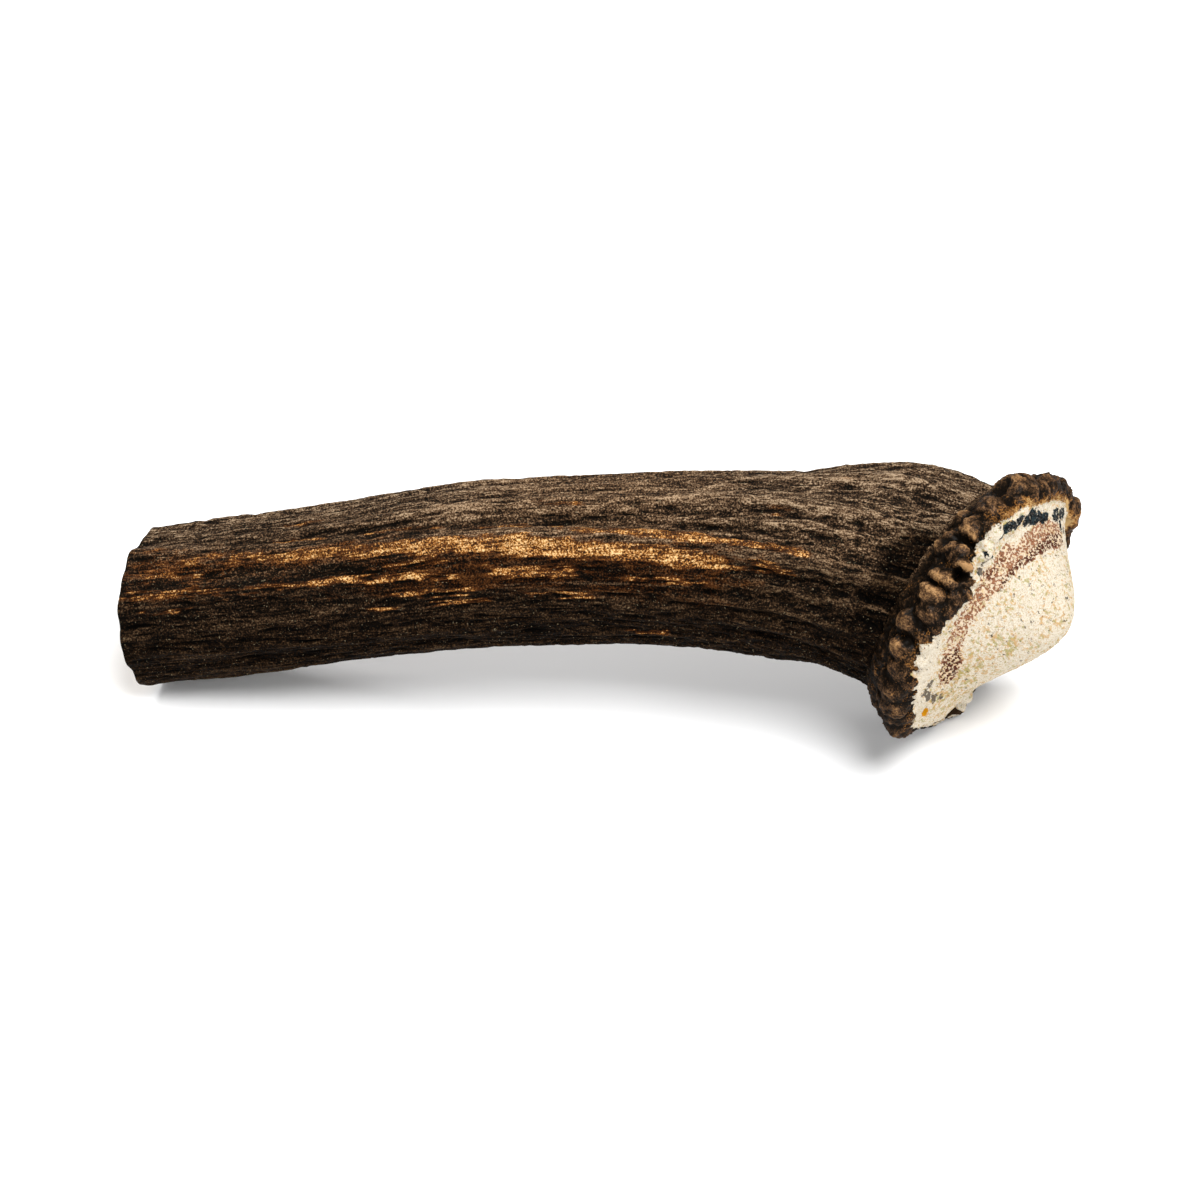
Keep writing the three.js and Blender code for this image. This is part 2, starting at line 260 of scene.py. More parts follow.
# Darker ground near the saw cut, given in the same way.
DULLED = [(-24, 72, 24, 42, 8.0, 1.0)]
# Greyer, bluer bark on the top, given in the same way: partly grey weathering, partly painted
# sheen.
GREYED = [
    (-40, 90, -38, -34, 14.0, 0.5),
    (100, 210, -36, -14, 24.0, 0.5),
]
# Pale crests that run up to the burr, given in the same way.
PALE_LINES = [
    (136, 172, 43.6, 47, 0.5, 0.7),
    (138, 172, 61.5, 66, 0.4, 0.55),
    (116, 146, 60, 62, 0.4, 0.5),
    (60, 130, 64, 70, 0.45, 0.6),
    (128, 168, 30, 33, 0.4, 0.4),
]
# A streak fades over this share of its length at each end, and out to this many half widths.
STREAK_END = 0.25
STREAK_REACH = 1.3
# Knobs take over from bark within this distance up the burr.
BURR_START = 3.0
# The beam's colour darkens from the first of these angles to the last, and clears again on the
# far side: painted shade of its underside.
PAINTED_SHADE_SIDE = {"from": 32.0, "dusky": 56.0, "darkest": 96.0, "clearing": 176.0, "clear": 214.0}
# Share of the underside's painted shade that is reached at the dusky angle.
DUSKY = 0.78
# Painted shadow that the burr casts on the beam just before it.
BURR_SHADOW = {"from": 148.0, "fade": 11.0, "angle": 20.0, "turn": 26.0, "depth": 1.7}

# Marks on the burr and the seal: angle, distance up the burr, half widths round it and up it,
# strength. The higher the gain, the nearer its edge a mark is at full strength.
MARK_GAIN = 1.6
BLUE_STAINS = [
    (-4, 16.6, 3.6, 1.6, 1.0), (-10, 17.9, 3.4, 1.5, 1.0), (-18, 18.9, 2.6, 1.3, 0.9),
    (12, 14.2, 2.6, 0.9, 0.9), (6, 15.0, 2.6, 1.1, 0.95), (-34, 19.4, 2.8, 1.6, 0.9),
    (-45, 18.9, 3.2, 1.5, 0.8), (-41, 20.9, 1.5, 1.2, 0.85), (23.4, 17.0, 0.5, 0.6, 1.0),
    (26, 14.0, 0.7, 0.5, 0.9), (15.5, 14.4, 1.6, 0.6, 0.8), (33, 15.4, 0.6, 1.0, 0.8),
]
PORE_BANDS = [
    (-30, 22.4, 6.0, 2.6, 0.9), (-14, 21.2, 6.6, 3.4, 1.0), (2, 21.4, 5.4, 3.0, 0.95),
    (18, 20.4, 5.6, 3.8, 0.85), (30, 20.8, 5.0, 3.8, 0.85), (42, 21.4, 4.8, 3.2, 0.8),
    (54, 21.4, 4.8, 3.2, 0.75), (66, 22.2, 4.8, 3.0, 0.75), (77, 23.4, 4.4, 2.6, 0.95),
    (86, 24.6, 4.6, 3.0, 1.0), (95, 25.0, 3.4, 2.4, 1.0),
]
# Dark inner edge of the band, and other places where its pores are deep.
PORE_RIM = {"up": 23.2, "half": 1.0, "reach": 1.5, "from": -48.0, "to": 26.0}
DEEP_PORES = [
    (80, 23.6, 3.6, 2.2, 0.8), (87, 24.6, 4.2, 2.6, 1.0), (94, 25.2, 3.4, 2.0, 0.9),
    (28, 19.4, 4.6, 1.8, 0.5),
]
GREY_STAINS = [
    (104, 20.5, 2.4, 0.9, 1.0), (111, 22.2, 2.6, 0.9, 1.0), (116, 24.0, 1.8, 0.8, 0.9),
    (98, 19.2, 1.6, 1.0, 0.8), (93, 20.1, 1.8, 1.2, 0.6), (31.5, 16.7, 0.8, 1.4, 0.9),
    (28, 15.0, 1.8, 0.9, 0.5),
]
GOLD_HOLES = [(120, 19.8, 2.5, 1.0, 1.0)]
BITES = [(168, 18.8, 2.6, 2.8, 1.0), (171, 16.8, 3.2, 2.0, 1.0), (-70, 19.4, 5.0, 1.7, 1.0)]
HOLES = [
    (174.4, 22.4, 1.0, 0.8, 1.0), (158, 17.4, 1.1, 1.0, 1.0), (-50, 21.4, 1.6, 0.9, 0.7),
    (-68, 20.2, 2.4, 0.9, 0.7),
]
SMOOTH_STRIP = [(72, 16.0, 6.5, 3.2, 1.0), (86, 17.2, 5.0, 2.8, 1.0), (112, 18.6, 4.0, 2.6, 0.7)]
GRIME = [(100, 27.0, 12.0, 6.0, 0.8), (128, 24.0, 12.0, 6.0, 0.65), (84, 31.0, 9.0, 6.0, 0.6)]
RUBBED = [
    (49.4, 10.2, 2.6, 2.4, 0.6), (42.2, 10.2, 1.4, 2.8, 0.8), (9.6, 10.6, 3.0, 3.0, 0.6),
    (20.8, 9.4, 3.2, 2.4, 0.3), (-1.5, 13.4, 2.6, 2.4, 0.7), (-22, 13.4, 4.0, 2.4, 0.7),
    (-70, 15.0, 8.0, 3.2, 0.8), (-50, 15.0, 5.0, 2.4, 0.7), (36, 14.4, 2.4, 2.4, 0.5),
    (-10, 12.0, 5.0, 3.0, 0.9), (2, 12.5, 4.0, 3.0, 0.9),
]

# Which masks come from which tables.
STREAKS = {"gold": GOLD, "warm": WARM, "pale": PALE_LINES, "greyed": GREYED, "dulled": DULLED}
MARKS = {
    "blue": BLUE_STAINS, "pore_band": PORE_BANDS, "grey": GREY_STAINS, "gold_hole": GOLD_HOLES,
    "bite": BITES, "hole": HOLES, "strip": SMOOTH_STRIP, "grime": GRIME, "rubbed": RUBBED,
}

# Amber glow of the burr's edge along the seal: angle and strength.
RIM_GLOW = [
    (-180, 0.0), (-88, 0.0), (-78, 0.7), (-66, 1.5), (-46, 1.3), (-34, 0.9), (-8, 1.0), (8, 0.85),
    (20, 0.2), (32, 0.0), (58, 0.0), (66, 0.42), (112, 0.42), (120, 0.0), (180, 0.0),
]

# Braided strands of the bark: width, length and distortion of their pattern, and its seed.
STRAND = {"width": 1.25, "length": 9.0, "distortion": 0.5, "seed": 4.0}

# Low relief of the skin.
RELIEF = {
    "Fibre depth": 0.5, "Fibre width": 2.4, "Fibre length": 22.0, "Strand depth": 0.46,
    "Strand width": STRAND["width"], "Strand length": STRAND["length"], "Knot depth": 0.6,
    "Knot size": 2.6, "Pore depth": 0.22, "Pore size": 0.9,
}
# What turns each pattern's swing into about its depth. Strands fall away from their crests, so
# theirs is negative.
SWING = {"fibre": 4.0, "strand": -8.0, "knot": 0.6, "crag": 6.0, "pore": 4.0}
CRAG_SHARE = 0.8  # how many crags there are to a knot's size
FIBRES_LOST = 0.75  # share of the fibres' height that the burr loses
# Relief changes from bark to bone over these distances inside the seal's edge, and rises over
# these distances from the saw cut.
SEAL_FADE = (-0.2, 0.4)
SAW_FADE = (-0.4, 2.0)
CREST_BLUR = 8  # rounds of smoothing that crests are measured against

# Where the dense rim of the sawn face starts, as a share of its radius, and how it fades in.
SAWN_RIM = 0.80
SAWN_RIM_FADE = 0.22
# Size of the open pores on the saw cut and on the seal, and how open the saw cut's are.
SAWN_PORE = 0.8
SEAL_PORE = 0.48
SAWN_OPENNESS = 0.6
# Openness at which pores start, how much it widens them, and how steep their walls are.
PORE_EDGE = {"closed": 0.70, "opening": 0.24, "wall": 0.05}

# Noises of the skin: how much shorter they are along the bone, size, detail, roughness and
# distortion.
BANDS = (0.10, 3.2, 3.0, 0.55, 0.4)
STRANDS = (0.05, 0.75, 3.0, 0.6, 0.6)
MOTTLE = (0.4, 1.8, 5.0, 0.7, 0.3)

# ---------------------------------------------------------------------------------- stage

SENSOR_WIDTH = 36.0
FLOOR_SIZE = 6.0
# Lights: name, place, width and power. All of them point at one place.
LIGHT_AIM = (0.0, 0.0, 0.03)
LIGHTS = [
    ("key", (0.22, -0.30, 0.85), 0.55, 11.0),
    ("back light", (-0.2, 0.6, 0.6), 0.3, 3.0),
    ("fill", (0.75, -0.45, 0.35), 0.5, 2.5),
]

# ------------------------------------------------------------------------------- fineness

SAW_RINGS = 14
BEAM_RINGS = 186
BURR_RINGS = 50
SEAL_RINGS = 44
BEAM_POINTS = 340
BURR_POINTS = 440
# Smaller rings have a multiple of this many points.
SAW_STEP = 20
SEAL_STEP = 40


def unit(vector):
    return vector / np.linalg.norm(vector)


SAW_AXIS, BURR_AXIS, HUMP_SIDE = (unit(axis) for axis in (SAW_AXIS, BURR_AXIS, HUMP_SIDE))


def smooth(value):
    """0 below 0, 1 above 1, an S-shaped step between."""
    value = np.clip(value, 0.0, 1.0)
    return value * value * (3.0 - 2.0 * value)


def angle_between(angle, other):
    """Shortest way round from one angle to another, in degrees."""
    return (angle - other + 180.0) % 360.0 - 180.0


def spline(points, share):
    """The place at a share of a Catmull-Rom curve through the points."""
    points = np.asarray(points, float)
    last = len(points) - 1
    index = min(int(share * last), last - 1)
    part = share * last - index
    one, two = points[index], points[index + 1]
    zero = points[index - 1] if index > 0 else 2 * one - two
    three = points[index + 2] if index + 2 <= last else 2 * two - one
    return 0.5 * (
        2 * one
        + (two - zero) * part
        + (2 * zero - 5 * one + 4 * two - three) * part**2
        + (3 * one - zero - 3 * two + three) * part**3
    )


def heading(points, share, step=1e-4):
    """The direction in which the same curve runs there."""
    before, after = max(share - step, 0.0), min(share + step, 1.0)
    return unit(spline(points, after) - spline(points, before))


@dataclass
class Ring:
    """One ring of the skin. along runs from the saw cut, up from the beam's end.

    out and lift are the shares of the relief that go away from the axis and along it.
    """

    centre: np.ndarray
    axis: np.ndarray
    radius: float
    along: float
    up: float = 0.0
    out: float = 1.0
    lift: float = 0.0


def beam_rings():
    """Rings of the beam, from the saw cut to where the burr starts."""
    rings = []
    middles = [station[:3] for station in BEAM_STATIONS]
    radii = [station[3:] for station in BEAM_STATIONS]
    along = 0.0
    for share in np.linspace(0.0, 1.0, BEAM_RINGS):
        centre = spline(middles, share)
        if rings:
            along += np.linalg.norm(centre - rings[-1].centre)
        to_saw = smooth(1.0 - share / SAW_BLEND)
        to_burr = smooth((share - 1.0 + BURR_BLEND) / BURR_BLEND)
        axis = heading(middles, share) * (1.0 - to_saw - to_burr)
        axis = unit(axis + SAW_AXIS * to_saw + BURR_AXIS * to_burr)
        rings.append(Ring(centre, axis, float(spline(radii, share)[0]), along))
    return rings


def turned_rings(outline, count, start_up, beam_end):
    """Rings of one outline turned round the burr's axis."""
    rings = []
    slide = beam_end.centre - BURR_CENTRE - BURR_AXIS * BURR_OUTLINE[0][1]
    up = start_up
    before = spline(outline, 0.0)
    for share in np.linspace(0.0, 1.0, count + 1)[1:]:
        point = spline(outline, share)
        up += np.linalg.norm(point - before)
        before = point
        tangent = heading(outline, share)
        turned = smooth(up / OUTWARD_TURN)
        out, lift = unit(np.array([1.0 - turned + tangent[1] * turned, -tangent[0] * turned]))
        centre = BURR_CENTRE + BURR_AXIS * point[1] + slide * smooth(1.0 - up / CENTRE_SLIDE)
        rings.append(Ring(centre, BURR_AXIS, point[0], beam_end.along + up, up, out, lift))
    return rings


def fluting(ring, angle):
    rise = np.zeros_like(angle)
    for count, depth, phase, sway, wave in FLUTES:
        turn = np.radians(angle) * count + phase + sway * math.sin(ring.along / wave)
        rise += depth * np.sin(turn)
    return rise


def across_track(ring, angle, first_angle, last_angle, share):
    """Distance round the beam from a track whose angle changes along it."""
    track = first_angle + (last_angle - first_angle) * share
    return np.abs(np.radians(angle_between(angle, track))) * ring.radius


def ridge_rise(ring, angle):
    rise = np.zeros_like(angle)
    for start, end, first, last, half_width, height in RIDGES:
        if not start <= ring.along <= end:
            continue
        away = across_track(ring, angle, first, last, (ring.along - start) / (end - start))
        rising = 1.0 if start < SAW_EDGE else smooth((ring.along - start) / RIDGE_FADE)
        sinking = smooth((end - ring.along) / RIDGE_FADE)
        rise += height * rising * sinking * smooth(1.0 - away / half_width)
    return rise


def shoulder_rise(ring, angle):
    lengthwise = ring.along - SHOULDER["at"]
    lengthwise /= SHOULDER["before"] if lengthwise < 0.0 else SHOULDER["after"]
    around = np.radians(angle_between(angle, SHOULDER["angle"])) * ring.radius
    away = np.hypot(lengthwise, around / SHOULDER["half"])
    return SHOULDER["rise"] * smooth(1.0 - away) * smooth(1.0 - ring.up / CENTRE_SLIDE)


def spot(ring, angle, spot_angle, spot_up, half_around, half_up):
    """1 in the middle of an oval spot, 0 at its edge and beyond."""
    around = np.radians(angle_between(angle, spot_angle)) * ring.radius
    distance = (around / half_around) ** 2 + ((ring.up - spot_up) / half_up) ** 2
    return np.clip(1.0 - distance, 0.0, 1.0)


def far_lumps():
    lumps = []
    for index in range(FAR_LUMPS["count"]):
        swing = math.sin(math.radians(index * FAR_SWING["turn"]))
        width = FAR_LUMPS["width"] + FAR_SWING["width"] * swing
        rise = FAR_LUMPS["rise"] - FAR_SWING["rise"] * swing
        up = FAR_LUMPS["low"] if index % 2 else FAR_LUMPS["high"]
        lumps.append((FAR_LUMPS["from"] + index * FAR_LUMPS["step"], up, width, width, rise))
    return lumps


ALL_LUMPS = LUMPS + far_lumps()


def lump_rise(ring, angle):
    total = np.zeros_like(angle)
    for *place, height in ALL_LUMPS:
        total += (height * spot(ring, angle, *place)) ** LUMP_MERGE
    return total ** (1.0 / LUMP_MERGE)


def pit_depth(ring, angle):
    return sum(depth * spot(ring, angle, *place) for *place, depth in PITS)


def relief(ring, angle):
    if ring.up == 0.0:
        return fluting(ring, angle) + ridge_rise(ring, angle) + shoulder_rise(ring, angle)
    return shoulder_rise(ring, angle) + lump_rise(ring, angle) - pit_depth(ring, angle)


def hump_lift(points, up):
    """How far the seal's lopsided hump lifts points along the burr's axis."""
    offset = points - BURR_CENTRE
    on_side = offset @ HUMP_SIDE - HUMP["offset"]
    across = offset @ np.cross(BURR_AXIS, HUMP_SIDE)
    reach = np.where(on_side < 0.0, HUMP["low"], HUMP["high"])
    away = np.hypot(on_side / reach, across / HUMP["across"])
    return HUMP["rise"] * smooth(1.0 - away) * smooth((up - HUMP["start"]) / HUMP["blend"])


def ring_directions(ring, count):
    """Angles of a ring's points and the outward direction at each."""
    angle = np.arange(count) * 360.0 / count
    upright = unit(np.array([0.0, 0.0, 1.0]) - ring.axis * ring.axis[2])
    sideways = np.cross(ring.axis, upright)
    turn = np.radians(angle)[:, None]
    return angle, np.cos(turn) * upright + np.sin(turn) * sideways


# --------------------------------------------------------------------- colour masks per point


def streaks(ring, angle, table):
    """Strength of streaks that run along the beam."""
    mask = np.zeros_like(angle)
    if ring.up > 0.0:
        return mask
    for start, end, first, last, half_width, strength in table:
        share = (ring.along - start) / (end - start)
        if not 0.0 <= share <= 1.0:
            continue
        away = across_track(ring, angle, first, last, share)
        ends = smooth(share / STREAK_END) * smooth((1.0 - share) / STREAK_END)
        mask = np.maximum(mask, strength * ends * smooth(STREAK_REACH - away / half_width))
    return mask


def ridge_mask(ring, angle):
    """Height of the flutes and ridges in millimetres, on the beam; the bark's tone follows it as
    painted highlight and shade.
    """
    if ring.up > 0.0:
        return np.zeros_like(angle)
    return fluting(ring, angle) + ridge_rise(ring, angle)


def painted_shade_mask(ring, angle):
    """Painted shade: the beam's underside, and the burr's shadow on the beam before it."""
    side = PAINTED_SHADE_SIDE
    dusk = smooth((angle - side["from"]) / (side["dusky"] - side["from"]))
    dark = smooth((angle - side["dusky"]) / (side["darkest"] - side["dusky"]))
    clear = smooth((side["clear"] - angle) / (side["clear"] - side["clearing"]))
    lower = (DUSKY * dusk + (1.0 - DUSKY) * dark) * clear
    # The burr's painted shadow, growing towards the burr on the side turned towards -Y.
    into_shadow = smooth((ring.along - BURR_SHADOW["from"]) / BURR_SHADOW["fade"])
    facing = smooth(angle_between(angle, BURR_SHADOW["angle"]) / BURR_SHADOW["turn"] + 0.5)
    deep = BURR_SHADOW["depth"] * into_shadow * facing * clear * (ring.up == 0.0)
    return np.maximum(lower, deep)


def seal_distance(ring, angle):
    """Millimetres inside the seal's edge; negative on the burr and the beam."""
    signed = angle_between(angle, 0.0)
    angles, ups = zip(*SEAL_EDGE)
    edge = np.interp(signed, angles, ups)
    inside = (signed > SCALLOPS["from"]) & (signed < SCALLOPS["to"])
    waves = np.abs(np.sin(np.pi * signed / SCALLOPS["pitch"]))
    edge = edge - np.where(inside, SCALLOPS["depth"] * waves, 0.0)
    return ring.up - edge


def marks(ring, angle, table):
    """Strength of oval marks on the burr and the seal."""
    mask = np.zeros_like(angle)
    for *place, strength in table:
        mask = np.maximum(mask, strength * smooth(MARK_GAIN * spot(ring, angle, *place)))
    return mask


def pore_rim(ring, angle):
    """The dark inner edge of the pore band, and its other deep pores."""
    signed = angle_between(angle, 0.0)
    near = smooth(PORE_RIM["reach"] - abs(ring.up - PORE_RIM["up"]) / PORE_RIM["half"])
    near = near * ((signed > PORE_RIM["from"]) & (signed < PORE_RIM["to"]))
    return np.maximum(near, marks(ring, angle, DEEP_PORES))


def rim_glow(angle):
    angles, strengths = zip(*RIM_GLOW)
    return np.interp(angle_between(angle, 0.0), angles, strengths)


def point_masks(ring, angle):
    masks = {name: streaks(ring, angle, table) for name, table in STREAKS.items()}
    masks.update({name: marks(ring, angle, table) for name, table in MARKS.items()})
    masks.update({
        "dark": painted_shade_mask(ring, angle),
        "ridge": ridge_mask(ring, angle),
        "burr": np.full_like(angle, smooth(ring.up / BURR_START)),
        "seal_mm": seal_distance(ring, angle),
        "pore_rim": pore_rim(ring, angle),
        "rim_glow": rim_glow(angle),
        "sawn": np.zeros_like(angle),
        "core": np.zeros_like(angle),
    })
    return masks


# -------------------------------------------------------------------------------- the skin


class Skin:
    """Collects rings of points, their faces and what is stored at each point."""

    def __init__(self):
        self.points = []
        self.grain = []
        self.rise = []
        self.masks = []
        self.faces = []
        self.total = 0
        self.last = None

    def add(self, points, grain, rise, masks):
        count = len(points)
        start = self.total
        self.points.append(points)
        self.grain.append(grain)
        self.rise.append(rise)
        self.masks.append(masks)
        self.total += count
        if self.last is not None:
            self.bridge(self.last, (start, count))
        self.last = (start, count)

    def bridge(self, first, second):
        """Faces between two rings, which may have different numbers of points, or only one."""
        first_start, first_count = first
        second_start, second_count = second
        if first_count == second_count:
            for i in range(first_count):
                j = (i + 1) % first_count
                self.faces.append(
                    (first_start + i, first_start + j, second_start + j, second_start + i)
                )
            return
        first_edges = first_count if first_count > 1 else 0
        second_edges = second_count if second_count > 1 else 0
        i = j = 0
        while i < first_edges or j < second_edges:
            a = first_start + i % first_count
            b = second_start + j % second_count
            first_turn = (i + 1) * max(second_edges, 1) if i < first_edges else math.inf
            second_turn = (j + 1) * max(first_edges, 1) if j < second_edges else math.inf
            if first_turn <= second_turn:
                i += 1
                self.faces.append((a, first_start + i % first_count, b))
            else:
                j += 1
                self.faces.append((a, second_start + j % second_count, b))

    def stack(self, name):
        return np.concatenate([masks[name] for masks in self.masks])


def sawn_rings(skin, ring):
    """The flat saw cut, from its middle out to just inside the skin."""
    for share in np.linspace(0.0, 1.0, SAW_RINGS + 1)[:-1]:
        count = 1 if share == 0.0 else max(int(BEAM_POINTS * share / SAW_STEP), 1) * SAW_STEP
        angle, outward = ring_directions(ring, count)
        reach = (ring.radius + relief(ring, angle)) * share
        points = ring.centre + outward * reach[:, None]
        masks = {name: np.zeros(count) for name in point_masks(ring, angle)}
        masks["sawn"] = np.ones(count)
        masks["core"] = np.full(count, smooth((SAWN_RIM - share) / SAWN_RIM_FADE))
        masks["seal_mm"] = seal_distance(ring, angle)
        skin.add(points, grain_place(ring, angle), np.zeros(count), masks)


def grain_place(ring, angle):
    """Place on the straightened antler, so that fibres run along the bone."""
    turn = np.radians(angle)
    along = np.full_like(turn, ring.along)
    return np.stack([along, ring.radius * np.cos(turn), ring.radius * np.sin(turn)], 1)


def skin_ring(skin, ring, count):
    """One ring of points with its relief, its place on the grain and its colour masks."""
    angle, outward = ring_directions(ring, count)
    rise = relief(ring, angle)
    points = ring.centre + outward * (ring.radius + rise * ring.out)[:, None]
    points = points + ring.axis * (rise * ring.lift)[:, None]
    if ring.up > 0.0:
        points = points + BURR_AXIS * hump_lift(points, ring.up)[:, None]
    skin.add(points, grain_place(ring, angle), rise, point_masks(ring, angle))


def build_skin():
    skin = Skin()
    beam = beam_rings()
    burr = turned_rings(BURR_OUTLINE, BURR_RINGS, 0.0, beam[-1])
    seal = turned_rings(SEAL_OUTLINE, SEAL_RINGS, burr[-1].up, beam[-1])
    sawn_rings(skin, beam[0])
    for ring in beam:
        skin_ring(skin, ring, BEAM_POINTS)
    for ring in burr:
        skin_ring(skin, ring, BURR_POINTS)
    for ring in seal[:-1]:
        share = ring.radius / SEAL_OUTLINE[0][0]
        count = max(round(BURR_POINTS * share / SEAL_STEP), 1) * SEAL_STEP
        skin_ring(skin, ring, count)
    skin_ring(skin, seal[-1], 1)
    return skin


def saw_mount():
    """Middle of the saw cut in the frame, in millimetres."""
    mounts = frame["record"]["mounts"]
    place = next(mount["pos_m"] for mount in mounts if mount["name"] == "sawn_end")
    return np.array(place) / MM


def skin_mesh():
    skin = build_skin()
    shift = saw_mount() - np.array(BEAM_STATIONS[0][:3])
    points = (np.concatenate(skin.points) + shift) * MM
    mesh = bpy.data.meshes.new("antler skin")
    mesh.from_pydata(points.tolist(), [], skin.faces)
    grain = mesh.attributes.new("grain", "FLOAT_VECTOR", "POINT")
    grain.data.foreach_set("vector", (np.concatenate(skin.grain) * MM).astype(np.float32).ravel())
    values = {name: skin.stack(name) for name in skin.masks[0]}
    values["rise"] = np.concatenate(skin.rise) * MM
    for name, value in values.items():
        layer = mesh.attributes.new(name, "FLOAT", "POINT")
        layer.data.foreach_set("value", value.astype(np.float32))
    mesh.polygons.foreach_set("use_smooth", [True] * len(mesh.polygons))
    mesh.update()
    return mesh


# ----------------------------------------------------------------------------- node helpers


class Nodes:
    """Adds nodes to one tree and joins them."""

    def __init__(self, tree):
        self.tree = tree

    def add(self, kind, inputs=None, **settings):
        node = self.tree.nodes.new(kind)
        for name, value in settings.items():
            setattr(node, name, value)
        for key, value in (inputs or {}).items():
            socket = node.inputs[key]
            if isinstance(value, bpy.types.NodeSocket):
                self.tree.links.new(value, socket)
            else:
                socket.default_value = value
        return node

    def math(self, operation, *values):
        return self.add("ShaderNodeMath", dict(enumerate(values)), operation=operation).outputs[0]

    def scaled(self, vector, scale):
        values = {0: vector, 1: scale}
        return self.add("ShaderNodeVectorMath", values, operation="MULTIPLY").outputs[0]

    def noise(self, vector, size, detail, roughness, distortion=0.0, seed=None):
        """Noise whose features are about size across, with a seed where one is given."""
        inputs = {
            "Vector": vector, "Scale": 1.0 / size, "Detail": detail, "Roughness": roughness,
            "Distortion": distortion,
        }
        if seed is None:
            return self.add("ShaderNodeTexNoise", inputs).outputs[0]
        inputs["W"] = seed
        return self.add("ShaderNodeTexNoise", inputs, noise_dimensions="4D").outputs[0]

    def stored(self, name, output="Fac"):
        """What a material finds stored on the mesh."""
        node = self.add("ShaderNodeAttribute", attribute_name=name, attribute_type="GEOMETRY")
        return node.outputs[output]

    def step(self, value, low, high):
        """0 below low, 1 above high, smooth between."""
        inputs = {"Value": value, "From Min": low, "From Max": high}
        node = self.add("ShaderNodeMapRange", inputs, interpolation_type="SMOOTHSTEP")
        return node.outputs[0]

    def mix(self, factor, first, second, blend="MIX"):
        inputs = {0: factor, 6: first, 7: second}
        return self.add("ShaderNodeMix", inputs, data_type="RGBA", blend_type=blend).outputs[2]

    def ramp(self, factor, stops):
        node = self.add("ShaderNodeValToRGB", {"Fac": factor})
        elements = node.color_ramp.elements
        while len(elements) < len(stops):
            elements.new(0.5)
        for element, (position, colour) in zip(elements, stops):
            element.position = position
            element.color = colour
        return node.outputs[0]


def srgb(red, green, blue):
    """A linear colour from the 0 to 255 values of a paint chart."""
    def linear(value):
        value /= 255.0
        return value / 12.92 if value <= 0.04045 else ((value + 0.055) / 1.055) ** 2.4

    return (linear(red), linear(green), linear(blue), 1.0)


# -------------------------------------------------------------------------- the relief tree


def relief_sockets(face):
    """What the relief tree takes in and gives back."""
    face.new_socket("Geometry", in_out="INPUT", socket_type="NodeSocketGeometry")
    for name, value in RELIEF.items():
        socket = face.new_socket(name, in_out="INPUT", socket_type="NodeSocketFloat")
        socket.default_value = value * MM
        socket.subtype = "DISTANCE"
    seed = face.new_socket("Seed", in_out="INPUT", socket_type="NodeSocketFloat")
    seed.default_value = STRAND["seed"]
    for name in ("Skin", "Sawn bone"):
        face.new_socket(name, in_out="INPUT", socket_type="NodeSocketMaterial")
    face.new_socket("Geometry", in_out="OUTPUT", socket_type="NodeSocketGeometry")


